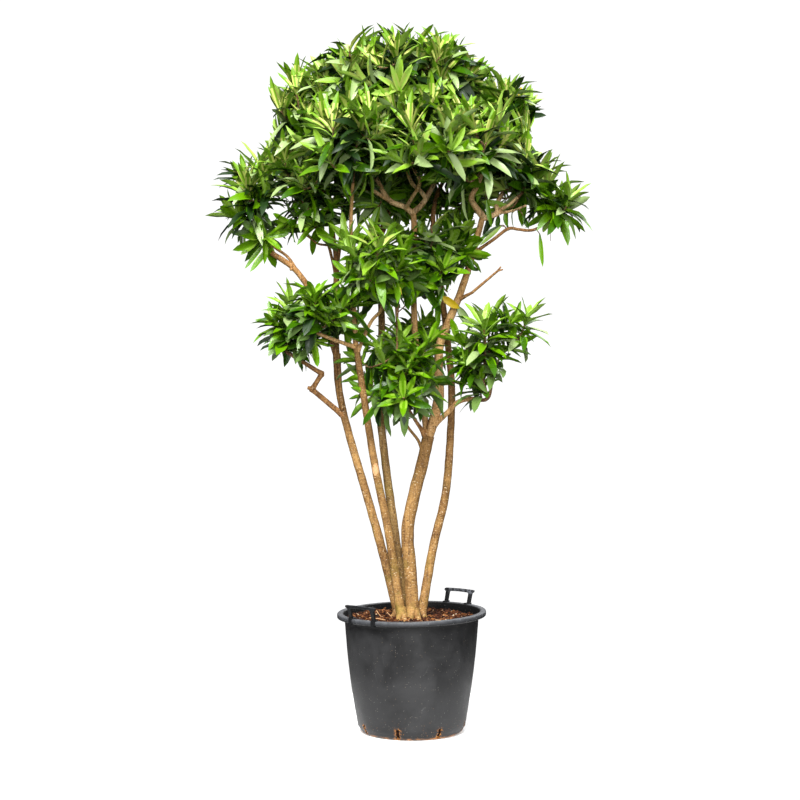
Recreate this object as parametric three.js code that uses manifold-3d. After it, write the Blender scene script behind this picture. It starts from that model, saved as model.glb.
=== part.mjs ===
// A potted dracaena: five stems from one root crown, standing in a black nursery pot with two carrying handles.
// Millimetres, +Z up. The origin is the centre of the pot's flat underside, and the front faces -Y.
import * as THREE from "three";
import { mergeVertices } from "three/addons/utils/BufferGeometryUtils.js";
import Module from "manifold-3d";

const wasm = await Module();
wasm.setup();

// Clearance between solids that touch on the real plant.
const GAP = 0.3;

// The pot: a tapered container with a rolled lip, rounded foot and drain slots round its lower edge.
const POT_HEIGHT = 438;
const LIP_RADIUS = 275;
const LIP_DEPTH = 17;
const WALL_TOP_RADIUS = 248;
const WALL_FOOT_RADIUS = 194;
const WALL_BULGE = 7;
const WALL_MIDDLE = 215;
const FOOT_ROUNDING = 24;
const WALL = 5;
const FLOOR = 6;
const POT_SIDES = 32;
const SLOT_COUNT = 8;
const SLOT_FIRST_DEG = -15;
const SLOT_WIDTH = 13;
const SLOT_HEIGHT = 38;
const SLOT_DEPTH = 30;

// The potting mix fills the pot to a little below the lip.
const SOIL_TOP = 410;

// Two moulded carrying handles stand on the lip, opposite each other.
const HANDLE_TURN_DEG = 48;
const HANDLE_SEAT_RADIUS = 264;
const HANDLE_SPAN = 126;
const HANDLE_OVERHANG = 9;
const HANDLE_RISE = 51;
const HANDLE_POST = 15;
const HANDLE_BAR = 11;
const HANDLE_THICK = 9;
const HANDLE_LEAN_DEG = 15;

// Limbs are tapering tubes: stems have eight sides, boughs five.
const STEM_SIDES = 8;
const BOUGH_SIDES = 5;
const RING_STEP = 145;
const FLARE = 4;
const FLARE_REACH = 38;

// Foliage: twigs that fork to shoots, each ending in a rolled young leaf over a tuft of strap-shaped leaves.
// Shoots spread round the line from the bough to the middle of the mass, and turn up at their ends.
const GOLDEN_TURN = Math.PI * (3 - Math.sqrt(5));
const SPREAD_DEG = 112;
const TURN_SCATTER = 0.6;
const OUTWARD_AIM = 0.75;
const UPWARD_AIM = 0.7;
const APEX_MARGIN = 55;
const PULL_IN = 0.12;
const PULL_TRIES = 12;
const FIRST_RUN = 22;
const FIRST_SHARE = 0.25;
const FORK_SHARE = 0.3;
const TWIG_SIDES = 3;
const TWIG_TAPER = 0.82;
const TWIG_LEAST = 4.5;
const FINE_STEPS = 40;
const SHOOT_BEND = 0.45;
const SHOOT_END = 3.4;
const SIDE_ROOT = 2.2;
const SPEAR_LENGTH = 75;
const LEAF_PAST_APEX = 95;
const LEAF_LENGTH = 175;
const LEAF_WIDTH = 50;
const LEAF_THICK = 3;
const LEAF_WIDEST = 0.48;
const LEAF_RIDGE = 0.34;
const LEAF_STALK = 0.14;
const LEAF_MID_DROOP = 0.15;
const LEAF_SCATTER_DEG = 10;
const LEAF_NUDGES = [0, 0.35, -0.35, 0.7, -0.7];
const LEAF_SCALES = [1, 0.85, 0.72];
const LIMB_CLEARANCE = 4;
const SPACE_MARGIN = 0.6;
// The leaf nodes of a shoot, from its tip down: depth below the tip, and the lean, droop and size of the leaves.
const NODE_HEIGHT = 9;
const LEAF_NODES = [
  { depth: 0, tilt: 30, droop: 8, size: 0.88 },
  { depth: 48, tilt: 64, droop: 30, size: 1 },
  { depth: 98, tilt: 98, droop: 55, size: 1 },
];
const NODE_TWIST = Math.PI / 3;
const SHOOT_SEED = 1000;
const LEAF_SEED = 5000;
const SEED_STEP = 77;

const COLOURS = {
  pot: [0x3a3c40, 0.6],
  handle: [0x43464a, 0.55],
  soil: [0x5a3a24, 0.95],
  bark: [0xa98a62, 0.9],
  leaf: [0x5d8f2e, 0.55],
};

// Stems start at a foot on the soil. A bough starts at a share of its carrier's length.
// Each line gives the places it passes, its tip and its radius at both ends.
const STEMS = {
  stem_left: { foot: [-45, 26], via: [[-104, 30, 645], [-158, 35, 840], [-252, 40, 1170], [-280, 45, 1380]],
    tip: [-280, 60, 1740], girth: [18, 11] },
  stem_front: { foot: [-36, -17], via: [[-85, -25, 735], [-133, -35, 970], [-175, -45, 1230]],
    tip: [-205, -55, 1425], girth: [17, 12] },
  stem_back: { foot: [-19, 34], via: [[-66, 55, 755], [-100, 70, 1010], [-125, 85, 1270], [-112, 98, 1520]],
    tip: [-130, 135, 1885], girth: [18, 11] },
  stem_knee: { foot: [6, -6], via: [[-5, -6, 590], [-15, -9, 735], [8, -10, 865], [37, -10, 980]],
    tip: [62, -10, 1090], girth: [25, 22] },
  stem_right: { foot: [33, 9], via: [[80, 20, 675], [130, 35, 900], [150, 60, 1225], [138, 80, 1420]],
    tip: [110, 115, 1655], girth: [17.5, 11.5] },
};
const BOUGHS = {
  bough_main: { on: ["stem_knee", 1],
    via: [[101, -15, 1225], [99, -12, 1371], [113, -8, 1454], [178, 0, 1612], [223, -10, 1755]],
    tip: [262, -20, 1900], girth: [19, 10.5] },
  bough_up: { on: ["stem_knee", 0.985],
    via: [[40, 20, 1220], [20, 30, 1370], [8, 28, 1600], [10, 12, 1850]],
    tip: [5, 5, 1925], girth: [12, 11] },
  bough_low_right: { on: ["bough_main", 0.04], via: [[134, -35, 1179], [161, -50, 1209], [191, -68, 1224]],
    tip: [222, -88, 1226], girth: [10.5, 8] },
  bough_low_mid: { on: ["stem_knee", 0.985], via: [[12, -45, 1151]], tip: [-18, -85, 1200], girth: [7, 5.5] },
  bough_zigzag: { on: ["stem_left", 0.572], via: [[-368, 0, 1262], [-332, -12, 1320]],
    tip: [-438, -30, 1387], girth: [11, 7.5] },
  bough_far_left: { on: ["stem_left", 0.745], via: [[-335, 15, 1556], [-388, 0, 1649], [-438, -12, 1712]],
    tip: [-518, -22, 1766], girth: [12.5, 10] },
  bough_far_left_shoot: { on: ["bough_far_left", 0.7], via: [[-458, 8, 1752], [-508, -2, 1789]],
    tip: [-548, -10, 1838], girth: [5.5, 5] },
  bough_left_front: { on: ["stem_front", 0.99], via: [[-290, -95, 1445]],
    tip: [-350, -110, 1468], girth: [8, 5.5] },
  bough_front_left: { on: ["stem_front", 1], via: [[-215, -110, 1660], [-220, -150, 1845]],
    tip: [-212, -190, 2000], girth: [9, 6] },
  bough_mid_front: { on: ["stem_front", 0.97], via: [[-150, -88, 1505], [-112, -112, 1550]],
    tip: [-115, -128, 1605], girth: [7, 5.5] },
  bough_left_top: { on: ["stem_left", 1], via: [[-305, 50, 1915], [-345, 20, 2060]],
    tip: [-385, 0, 2150], girth: [9, 6] },
  bough_left_back: { on: ["stem_left", 0.99], via: [[-258, 112, 1900], [-268, 170, 2050]],
    tip: [-280, 205, 2135], girth: [9, 6] },
  bough_left_inner: { on: ["stem_left", 0.96], via: [[-308, 22, 1795]],
    tip: [-330, -5, 1855], girth: [6, 5] },
  bough_top_back: { on: ["stem_back", 0.95], via: [[-88, 172, 1930], [-80, 190, 2090]],
    tip: [-75, 185, 2330], girth: [9, 6] },
  bough_top_left: { on: ["bough_up", 0.985],
    via: [[-26, 5, 1938], [-80, 12, 1962], [-119, 5, 2022], [-160, 0, 2110]],
    tip: [-212, -20, 2262], girth: [10.5, 6] },
  bough_back: { on: ["stem_back", 0.93], via: [[-95, 205, 1960]], tip: [-25, 300, 2150], girth: [9, 6] },
  bough_low_back: { on: ["stem_back", 0.585], via: [[-78, 155, 1312]],
    tip: [-50, 190, 1348], girth: [6, 5] },
  bough_top_right: { on: ["bough_up", 0.99], via: [[40, 0, 1948], [62, 0, 1985], [90, -2, 2050]],
    tip: [132, -5, 2245], girth: [11, 6] },
  bough_top_front: { on: ["bough_top_right", 0.2], via: [[31, -22, 1995], [-3, -50, 2026], [-20, -80, 2100]],
    tip: [-12, -120, 2240], girth: [8, 6] },
  bough_front: { on: ["bough_top_left", 0.08], via: [[-2, -65, 1958], [28, -125, 2008]],
    tip: [8, -205, 2045], girth: [7, 5.5] },
  bough_right_front: { on: ["bough_main", 1], via: [[232, -48, 1935], [218, -78, 1962], [240, -108, 2005]],
    tip: [258, -138, 2050], girth: [12.5, 7] },
  bough_right_top: { on: ["bough_main", 0.99], via: [[290, -20, 1900], [316, -18, 1914], [314, -8, 1945], [334, 5, 1985]],
    tip: [368, 18, 2066], girth: [10, 6] },
  bough_right_low: { on: ["bough_right_top", 0.3], via: [[355, -45, 1938]],
    tip: [388, -62, 1966], girth: [6.5, 5] },
  bough_far_right: { on: ["bough_main", 0.83],
    via: [[300, -30, 1813], [354, -40, 1852], [392, -40, 1850], [428, -40, 1846], [460, -38, 1853]],
    tip: [505, -30, 1886], girth: [6.5, 5] },
  dead_twig: { on: ["bough_main", 0.62], via: [[222, -30, 1618]], tip: [318, -70, 1698], girth: [6, 4] },
  bough_right_back: { on: ["stem_right", 1], via: [[92, 132, 1800], [84, 140, 1940], [128, 165, 2062]],
    tip: [215, 215, 2130], girth: [10.5, 6.5] },
  bough_mid_right: { on: ["stem_right", 0.9], via: [[108, 40, 1598]], tip: [62, -42, 1672], girth: [6, 5] },
};

// Each mass of foliage: its bough, the centre and reach of its space, and how many shoots it has.
const MASSES = {
  foliage_far_left: { on: "bough_far_left_shoot", centre: [-580, -15, 1945], reach: [170, 175, 205], shoots: 4 },
  foliage_low_left: { on: "bough_zigzag", centre: [-440, -35, 1487], reach: [175, 175, 165], shoots: 3 },
  foliage_left_front: { on: "bough_left_front", centre: [-342, -123, 1541], reach: [185, 165, 185], shoots: 5 },
  foliage_left_inner: { on: "bough_left_inner", centre: [-402, -34, 1980], reach: [180, 175, 195], shoots: 3 },
  foliage_left_top: { on: "bough_left_top", centre: [-402, -10, 2270], reach: [170, 190, 230], shoots: 5 },
  foliage_left_back: { on: "bough_left_back", centre: [-300, 265, 2280], reach: [220, 220, 225], shoots: 4 },
  foliage_front_left: { on: "bough_front_left", centre: [-235, -240, 2115], reach: [205, 205, 220], shoots: 5 },
  foliage_mid_front: { on: "bough_mid_front", centre: [-150, -165, 1705], reach: [210, 190, 222], shoots: 5 },
  foliage_top_left: { on: "bough_top_left", centre: [-205, -30, 2390], reach: [172, 190, 208], shoots: 4 },
  foliage_top_back: { on: "bough_top_back", centre: [-60, 200, 2440], reach: [215, 205, 190], shoots: 4 },
  foliage_back: { on: "bough_back", centre: [-5, 375, 2255], reach: [240, 205, 220], shoots: 4 },
  foliage_top_front: { on: "bough_top_front", centre: [-30, -150, 2400], reach: [190, 190, 205], shoots: 4 },
  foliage_front: { on: "bough_front", centre: [25, -305, 2128], reach: [205, 205, 190], shoots: 5 },
  foliage_top_right: { on: "bough_top_right", centre: [145, 0, 2395], reach: [185, 205, 200], shoots: 4 },
  foliage_right_front: { on: "bough_right_front", centre: [225, -195, 2105], reach: [190, 205, 215], shoots: 5 },
  foliage_right_top: { on: "bough_right_top", centre: [362, 25, 2240], reach: [152, 205, 218], shoots: 4 },
  foliage_right_low: { on: "bough_right_low", centre: [410, -50, 2005], reach: [180, 175, 170], shoots: 4 },
  foliage_far_right: { on: "bough_far_right", centre: [540, -25, 1925], reach: [145, 155, 140], shoots: 3 },
  foliage_right_back: { on: "bough_right_back", centre: [305, 275, 2265], reach: [220, 220, 225], shoots: 4 },
  foliage_mid_right: { on: "bough_mid_right", centre: [85, -75, 1765], reach: [170, 170, 220], shoots: 4 },
  foliage_low_mid: { on: "bough_low_mid", centre: [-45, -120, 1285], reach: [190, 170, 215], shoots: 5 },
  foliage_low_right: { on: "bough_low_right", centre: [274, -105, 1425], reach: [197, 185, 216], shoots: 4 },
  foliage_low_back: { on: "bough_low_back", centre: [-30, 225, 1400], reach: [185, 185, 190], shoots: 4 },
  foliage_inner: { on: "stem_back", centre: [-140, 75, 2005], reach: [165, 160, 165], shoots: 3 },
};

const UP = new THREE.Vector3(0, 0, 1);
const EAST = new THREE.Vector3(1, 0, 0);
const vector = (place) => new THREE.Vector3(...place);
const radians = THREE.MathUtils.degToRad;

// A repeatable stream of numbers from 0 to 1.
function seeded(seed) {
  let state = seed;
  return () => {
    state = (state * 1664525 + 1013904223) % 4294967296;
    return state / 4294967296;
  };
}

// A closed geometry with shared vertices only, each moved by the given rule.
function shaped(geometry, rule) {
  geometry.deleteAttribute("normal");
  geometry.deleteAttribute("uv");
  const merged = mergeVertices(geometry);
  const position = merged.getAttribute("position");
  const point = new THREE.Vector3();
  for (let i = 0; i < position.count; i += 1) {
    point.fromBufferAttribute(position, i);
    const placed = rule ? rule(point) : point;
    position.setXYZ(i, placed.x, placed.y, placed.z);
  }
  return merged;
}

function solidOf(geometry) {
  const vertProperties = new Float32Array(geometry.getAttribute("position").array);
  const triVerts = new Uint32Array(geometry.getIndex().array);
  return new wasm.Manifold(new wasm.Mesh({ numProp: 3, vertProperties, triVerts }));
}

function geometryOf(solid) {
  const mesh = solid.getMesh();
  const places = new Float32Array(mesh.numVert * 3);
  for (let i = 0; i < mesh.numVert; i += 1) {
    for (let k = 0; k < 3; k += 1) places[i * 3 + k] = mesh.vertProperties[i * mesh.numProp + k];
  }
  const geometry = new THREE.BufferGeometry();
  geometry.setAttribute("position", new THREE.BufferAttribute(places, 3));
  geometry.setIndex(new THREE.BufferAttribute(new Uint32Array(mesh.triVerts), 1));
  geometry.computeVertexNormals();
  return geometry;
}

// The largest body of a solid, so loose scraps and sealed hollows go.
function largest(solid) {
  return solid.decompose().reduce((best, body) => (body.volume() > best.volume() ? body : best));
}

// A tapering tube along a curve. It may be fattened, and a stem's foot is cut level.
function tube(curve, radiusAt, sides, rings, fatter = 0, footLevel = null) {
  const frames = curve.computeFrenetFrames(rings, false);
  return shaped(new THREE.CylinderGeometry(1, 1, 1, sides, rings), ({ x, y, z }) => {
    const share = y + 0.5;
    const i = Math.round(share * rings);
    const radius = radiusAt(share) + fatter;
    const point = curve.getPointAt(share);
    point.addScaledVector(frames.normals[i], x * radius);
    point.addScaledVector(frames.binormals[i], -z * radius);
    if (i === 0) point.addScaledVector(frames.tangents[i], -fatter);
    if (i === rings) point.addScaledVector(frames.tangents[i], fatter);
    if (i === 0 && footLevel !== null) point.z = footLevel - fatter;
    return point;
  });
}

const curveThrough = (points) => new THREE.CatmullRomCurve3(points, false, "catmullrom", 0.5);

// Every limb's curve, radius along it and carrier.
const limbs = {};
for (const [name, stem] of Object.entries(STEMS)) {
  const footLevel = SOIL_TOP + GAP;
  const curve = curveThrough([[...stem.foot, footLevel], ...stem.via, stem.tip].map(vector));
  const length = curve.getLength();
  const [thick, thin] = stem.girth;
  const flareAt = (share) => FLARE * Math.exp((-share * length) / FLARE_REACH);
  const radiusAt = (share) => thick + (thin - thick) * share + flareAt(share);
  limbs[name] = { name, curve, radiusAt, length, sides: STEM_SIDES, footLevel };
}
for (const [name, bough] of Object.entries(BOUGHS)) {
  const [carrier, share] = bough.on;
  const start = limbs[carrier].curve.getPointAt(share);
  const curve = curveThrough([start, ...bough.via.map(vector), vector(bough.tip)]);
  const [thick, thin] = bough.girth;
  const radiusAt = (along) => thick + (thin - thick) * along;
  limbs[name] = { name, curve, radiusAt, length: curve.getLength(), sides: BOUGH_SIDES, footLevel: null };
}

// Limbs as solids, each cut clear of those made before it.
for (const limb of Object.values(limbs)) {
  const rings = Math.max(3, Math.round(limb.length / RING_STEP));
  const { curve, radiusAt, sides, footLevel } = limb;
  const body = (fatter) => solidOf(tube(curve, radiusAt, sides, rings, fatter, footLevel));
  limb.fat = body(GAP);
  limb.solid = body(0);
  for (const other of Object.values(limbs)) {
    if (other === limb) break;
    limb.solid = largest(limb.solid.subtract(other.fat));
  }
  limb.spine = [];
  for (let i = 0; i <= rings; i += 1) {
    limb.spine.push({ point: limb.curve.getPointAt(i / rings), radius: limb.radiusAt(i / rings) });
  }
}

// The shortest distance between two straight stretches.
function stretchDistance(a0, a1, b0, b1) {
  const a = new THREE.Vector3().subVectors(a1, a0);
  const b = new THREE.Vector3().subVectors(b1, b0);
  const between = new THREE.Vector3().subVectors(a0, b0);
  const aa = a.dot(a);
  const bb = b.dot(b);
  const ab = a.dot(b);
  const az = a.dot(between);
  const bz = b.dot(between);
  const spread = aa * bb - ab * ab;
  let s = spread > 1e-9 ? THREE.MathUtils.clamp((ab * bz - az * bb) / spread, 0, 1) : 0;
  let t = (ab * s + bz) / bb;
  if (t < 0 || t > 1) {
    t = THREE.MathUtils.clamp(t, 0, 1);
    s = THREE.MathUtils.clamp((ab * t - az) / aa, 0, 1);
  }
  return between.addScaledVector(a, s).addScaledVector(b, -t).length();
}

function touchesLimb(from, to, thickness, except = null) {
  return Object.values(limbs).some((limb) => limb !== except && limb.spine.some((ring, i) => {
    if (i === 0) return false;
    const before = limb.spine[i - 1];
    const clear = Math.max(ring.radius, before.radius) + thickness + LIMB_CLEARANCE;
    return stretchDistance(from, to, before.point, ring.point) < clear;
  }));
}

// A mass keeps to its own space: an egg-shaped reach, cut by a plane between it and each neighbour.
const masses = Object.entries(MASSES).map(([name, mass], index) => ({
  name,
  index,
  bough: limbs[mass.on],
  centre: vector(mass.centre),
  reach: vector(mass.reach),
  size: (mass.reach[0] + mass.reach[1] + mass.reach[2]) / 3,
  shoots: mass.shoots,
}));

function insideSpace(mass, point, margin = SPACE_MARGIN) {
  const offset = new THREE.Vector3().subVectors(point, mass.centre);
  const past = offset.clone().divide(mass.reach).length();
  if (past > 1 - margin / mass.size) return false;
  return masses.every((other) => {
    if (other === mass) return true;
    const toward = new THREE.Vector3().subVectors(other.centre, mass.centre);
    const apart = toward.length();
    const share = mass.size / (mass.size + other.size);
    return offset.dot(toward) / apart < apart * share - margin;
  });
}

// The tips of a mass's shoots, spread round the line from its bough's tip to its centre.
function shootTips(mass, hub) {
  const draw = seeded(SHOOT_SEED + mass.index * SEED_STEP);
  const axis = new THREE.Vector3().subVectors(mass.centre, hub).normalize();
  const across = Math.abs(axis.z) > 0.95 ? EAST : UP;
  const side = new THREE.Vector3().crossVectors(axis, across).normalize();
  const other = new THREE.Vector3().crossVectors(axis, side);
  const tips = [];
  for (let i = 0; i < mass.shoots; i += 1) {
    const polar = Math.acos(1 - ((1 - Math.cos(radians(SPREAD_DEG))) * (i + 0.5)) / mass.shoots);
    const turn = i * GOLDEN_TURN + draw() * TURN_SCATTER;
    const outward = axis.clone().multiplyScalar(Math.cos(polar));
    outward.addScaledVector(side, Math.sin(polar) * Math.cos(turn));
    outward.addScaledVector(other, Math.sin(polar) * Math.sin(turn));
    const past = mass.reach.clone().subScalar(LEAF_PAST_APEX).multiply(outward);
    const apex = mass.centre.clone().add(past);
    for (let step = 0; step < PULL_TRIES && !insideSpace(mass, apex, APEX_MARGIN); step += 1) {
      apex.lerp(mass.centre, PULL_IN);
    }
    const heading = outward.clone().multiplyScalar(OUTWARD_AIM).addScaledVector(UP, UPWARD_AIM).normalize();
    tips.push({ apex, heading });
  }
  return tips;
}

function middleOf(tips) {
  return tips.reduce((sum, tip) => sum.add(tip.apex), new THREE.Vector3()).divideScalar(tips.length);
}

// Twigs fork toward groups of tips, split in half across their widest spread. The larger half goes on along
// the same twig and the other starts a new one, so that each twig ends in one shoot.
function forked(twig, from, tips, radius, twigs) {
  if (tips.length === 1) {
    const { apex, heading } = tips[0];
    twig.points.push(apex.clone().addScaledVector(heading, -SHOOT_BEND * from.distanceTo(apex)), apex);
    return;
  }
  const spread = ["x", "y", "z"].map((k) => {
    const values = tips.map((tip) => tip.apex[k]);
    return Math.max(...values) - Math.min(...values);
  });
  const widest = ["x", "y", "z"][spread.indexOf(Math.max(...spread))];
  const sorted = [...tips].sort((a, b) => a.apex[widest] - b.apex[widest]);
  const half = Math.floor(sorted.length / 2);
  const thinner = Math.max(radius * TWIG_TAPER, TWIG_LEAST);
  const side = { points: [from.clone()], radius: thinner };
  twigs.push(side);
  for (const [branch, group] of [[twig, sorted.slice(half)], [side, sorted.slice(0, half)]]) {
    let start = from;
    if (group.length > 1) {
      start = from.clone().lerp(middleOf(group), FORK_SHARE);
      branch.points.push(start);
    }
    forked(branch, start, group, thinner, twigs);
  }
}

// The four free corners of a leaf: its two edges, the ridge of its keel and its tip.
function leafCorners({ root, along, upper, right, length, droop }) {
  const out = (share) => root.clone().addScaledVector(along, length * share);
  const fold = out(LEAF_WIDEST).addScaledVector(upper, -LEAF_THICK);
  fold.addScaledVector(UP, -droop * LEAF_MID_DROOP);
  return {
    left: fold.clone().addScaledVector(right, -LEAF_WIDTH / 2),
    right: fold.clone().addScaledVector(right, LEAF_WIDTH / 2),
    ridge: out(LEAF_RIDGE).addScaledVector(upper, LEAF_THICK * 0.5),
    tip: out(1).addScaledVector(UP, -droop),
  };
}

// A leaf stays in its mass's space and clear of every limb.
function leafFits(mass, root, corners) {
  const points = Object.values(corners);
  if (!points.every((point) => insideSpace(mass, point))) return false;
  return [root, ...points].every((a, i, all) => all.every((b, k) => k >= i || !touchesLimb(a, b, 0)));
}

// The leaf without its stalk, as a solid of six faces.
function blade(root, corners) {
  const stalk = root.clone().lerp(corners.tip, LEAF_STALK);
  return solidOf(shaped(new THREE.SphereGeometry(1, 3, 2), ({ x, y, z }) => {
    if (y > 0.5) return corners.tip;
    if (y < -0.5) return stalk;
    if (x < 0) return corners.ridge;
    return z > 0 ? corners.right : corners.left;
  }));
}

const boxesMeet = (a, b) => [0, 1, 2].every((k) => a.min[k] <= b.max[k] && b.min[k] <= a.max[k]);
const boxed = (solid) => ({ solid, box: solid.boundingBox() });

function crosses({ solid, box }, placed) {
  return placed.some((other) => boxesMeet(box, other.box) && !solid.intersect(other.solid).isEmpty());
}

// The rings of a twig as shares of its length: one at each fork, then two for each leaf node.
function twigRings(curve) {
  const bends = curve.points.length - 1;
  const lengths = curve.getLengths(bends * FINE_STEPS);
  const run = lengths[lengths.length - 1];
  const rings = [];
  for (let k = 0; k < bends - 1; k += 1) rings.push({ share: lengths[k * FINE_STEPS] / run, twist: 0 });
  const fork = rings[rings.length - 1].share * run;
  const nodes = LEAF_NODES.filter((node) => run - node.depth - NODE_HEIGHT > fork + NODE_HEIGHT).reverse();
  nodes.forEach((node, i) => {
    rings.push({ share: 1 - (node.depth + NODE_HEIGHT) / run, twist: i * NODE_TWIST, node });
    rings.push({ share: 1 - node.depth / run, twist: i * NODE_TWIST });
  });
  return rings;
}

// A twig with its leaves: a three-sided tube, some of whose faces are drawn out into leaves.
function twigSolid(mass, curve, radius, order, placed) {
  const rings = twigRings(curve);
  const last = rings.length - 1;
  const normal = new THREE.Vector3();
  for (const ring of rings) {
    ring.point = curve.getPointAt(ring.share);
    ring.tangent = curve.getTangentAt(ring.share);
    if (ring === rings[0]) normal.crossVectors(ring.tangent, Math.abs(ring.tangent.z) > 0.9 ? EAST : UP);
    normal.addScaledVector(ring.tangent, -normal.dot(ring.tangent)).normalize();
    ring.normal = normal.clone();
    ring.binormal = new THREE.Vector3().crossVectors(ring.tangent, normal);
    ring.radius = ring === rings[0] && order > 0 ? SIDE_ROOT : radius + (SHOOT_END - radius) * ring.share;
  }
  const sideways = (ring, angle) => {
    const turn = angle + ring.twist;
    const out = ring.normal.clone().multiplyScalar(Math.sin(turn));
    return out.addScaledVector(ring.binormal, -Math.cos(turn));
  };
  const geometry = shaped(new THREE.CylinderGeometry(1, 1, 1, TWIG_SIDES, last), ({ x, y, z }) => {
    const ring = rings[Math.round((y + 0.5) * last)];
    const point = ring.point.clone();
    const onWall = Math.hypot(x, z) > 0.5;
    if (onWall) return point.addScaledVector(sideways(ring, Math.atan2(x, z)), ring.radius);
    return point.addScaledVector(ring.tangent, ring === rings[last] ? SPEAR_LENGTH : 0);
  });
  const points = [...geometry.getAttribute("position").array];
  const faces = [...geometry.getIndex().array];
  const corner = (i) => new THREE.Vector3().fromArray(points, i * 3);
  const draw = seeded(LEAF_SEED + mass.index * SEED_STEP + order);
  const dropped = new Set();

  rings.forEach((ring, level) => {
    if (!ring.node) return;
    const { tilt, droop, size } = ring.node;
    const { tangent } = ring;
    const lean = radians(tilt + LEAF_SCATTER_DEG * (draw() - 0.5));
    for (let side = 0; side < TWIG_SIDES; side += 1) {
      const face = (side * last + (last - 1 - level)) * 2 + 1;
      const [low0, low1, high] = faces.slice(face * 3, face * 3 + 3);
      const root = corner(low0).add(corner(low1)).add(corner(high)).divideScalar(3);
      const tries = LEAF_NUDGES.flatMap((nudge) => LEAF_SCALES.map((scale) => ({ nudge, scale })));
      const found = tries.map(({ nudge, scale }) => {
        const radial = sideways(ring, ((side + 0.5) * 2 * Math.PI) / TWIG_SIDES + nudge);
        const along = tangent.clone().multiplyScalar(Math.cos(lean)).addScaledVector(radial, Math.sin(lean));
        const upper = tangent.clone().multiplyScalar(Math.sin(lean)).addScaledVector(radial, -Math.cos(lean));
        const right = new THREE.Vector3().crossVectors(tangent, radial);
        const length = LEAF_LENGTH * size * scale;
        return leafCorners({ root, along, upper, right, length, droop: droop * scale });
      }).find((corners) => leafFits(mass, root, corners) && !crosses(boxed(blade(root, corners)), placed));
      if (!found) continue;
      placed.push(boxed(blade(root, found)));
      dropped.add(face);
      const at = points.length / 3;
      const [left, right, ridge, tip] = [at, at + 1, at + 2, at + 3];
      for (const place of [found.left, found.right, found.ridge, found.tip]) points.push(...place.toArray());
      faces.push(low0, low1, right, low0, right, left);
      faces.push(low1, high, ridge, low1, ridge, right);
      faces.push(high, low0, left, high, left, ridge);
      faces.push(left, right, tip, right, ridge, tip, ridge, left, tip);
    }
  });
  const kept = faces.filter((_, i) => !dropped.has(Math.floor(i / 3)));
  const vertProperties = new Float32Array(points);
  return new wasm.Manifold(new wasm.Mesh({ numProp: 3, vertProperties, triVerts: new Uint32Array(kept) }));
}

function foliage(mass) {
  const { bough } = mass;
  const heading = bough.curve.getTangentAt(1);
  const hub = bough.curve.getPointAt(1).addScaledVector(heading, GAP);
  const tips = shootTips(mass, hub);
  const run = Math.max(FIRST_RUN, hub.distanceTo(middleOf(tips)) * FIRST_SHARE);
  const first = hub.clone().addScaledVector(heading, run);
  const stem = { points: [hub, first], radius: bough.radiusAt(1) };
  const twigs = [stem];
  forked(stem, first, tips, stem.radius, twigs);

  // A twig that would touch a limb is left out, with the leaves on it.
  const clear = twigs.map((twig) => ({ ...twig, curve: curveThrough(twig.points) })).filter((twig) => {
    const spine = twig.curve.getSpacedPoints(8);
    return !spine.some((point, i) => i > 2 && touchesLimb(spine[i - 1], point, twig.radius));
  });
  const placed = [];
  for (const { curve, radius } of clear) {
    const apex = curve.getPointAt(1);
    const spear = new THREE.LineCurve3(apex, apex.clone().addScaledVector(curve.getTangentAt(1), SPEAR_LENGTH));
    placed.push(boxed(solidOf(tube(curve, () => radius, TWIG_SIDES, 4))));
    placed.push(boxed(solidOf(tube(spear, () => SHOOT_END, TWIG_SIDES, 1))));
  }
  const pieces = clear.map(({ curve, radius }, order) => twigSolid(mass, curve, radius, order, placed));
  mass.solid = largest(wasm.Manifold.union(pieces));
}
masses.forEach(foliage);

// The pot's section, turned round the axis, less the drain slots.
function turned(profile) {
  const points = profile.map(([radius, level]) => new THREE.Vector2(radius, level));
  return shaped(new THREE.LatheGeometry(points, POT_SIDES), ({ x, y, z }) => new THREE.Vector3(x, -z, y));
}

const LIP_FOOT = POT_HEIGHT - LIP_DEPTH;
const slopeAt = (level) => WALL_FOOT_RADIUS + ((WALL_TOP_RADIUS - WALL_FOOT_RADIUS) * level) / LIP_FOOT;
const wallAt = (level) => slopeAt(level) + WALL_BULGE * Math.sin((Math.PI * level) / LIP_FOOT);

function pot() {
  const body = solidOf(turned([
    [0, 0],
    [wallAt(0) - FOOT_ROUNDING, 0],
    [wallAt(0) - FOOT_ROUNDING * 0.3, FOOT_ROUNDING * 0.26],
    [wallAt(FOOT_ROUNDING), FOOT_ROUNDING],
    [wallAt(WALL_MIDDLE), WALL_MIDDLE],
    [WALL_TOP_RADIUS, LIP_FOOT],
    [LIP_RADIUS - 5, LIP_FOOT - 1],
    [LIP_RADIUS, LIP_FOOT + 4],
    [LIP_RADIUS, POT_HEIGHT - 5],
    [LIP_RADIUS - 5, POT_HEIGHT],
    [WALL_TOP_RADIUS + 3, POT_HEIGHT],
    [WALL_TOP_RADIUS - WALL, LIP_FOOT - 6],
    [wallAt(WALL_MIDDLE) - WALL, WALL_MIDDLE],
    [wallAt(FOOT_ROUNDING) - WALL, FOOT_ROUNDING],
    [wallAt(0) - FOOT_ROUNDING, FLOOR],
    [0, FLOOR],
  ]));
  let cut = body;
  for (let i = 0; i < SLOT_COUNT; i += 1) {
    const turn = radians(SLOT_FIRST_DEG - 90 + (360 / SLOT_COUNT) * i);
    const slot = new THREE.BoxGeometry(SLOT_DEPTH, SLOT_WIDTH, SLOT_HEIGHT);
    slot.translate(WALL_FOOT_RADIUS - 4, 0, SLOT_HEIGHT / 2 + 4).rotateZ(turn);
    cut = cut.subtract(solidOf(shaped(slot)));
  }
  return geometryOf(largest(cut));
}

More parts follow.
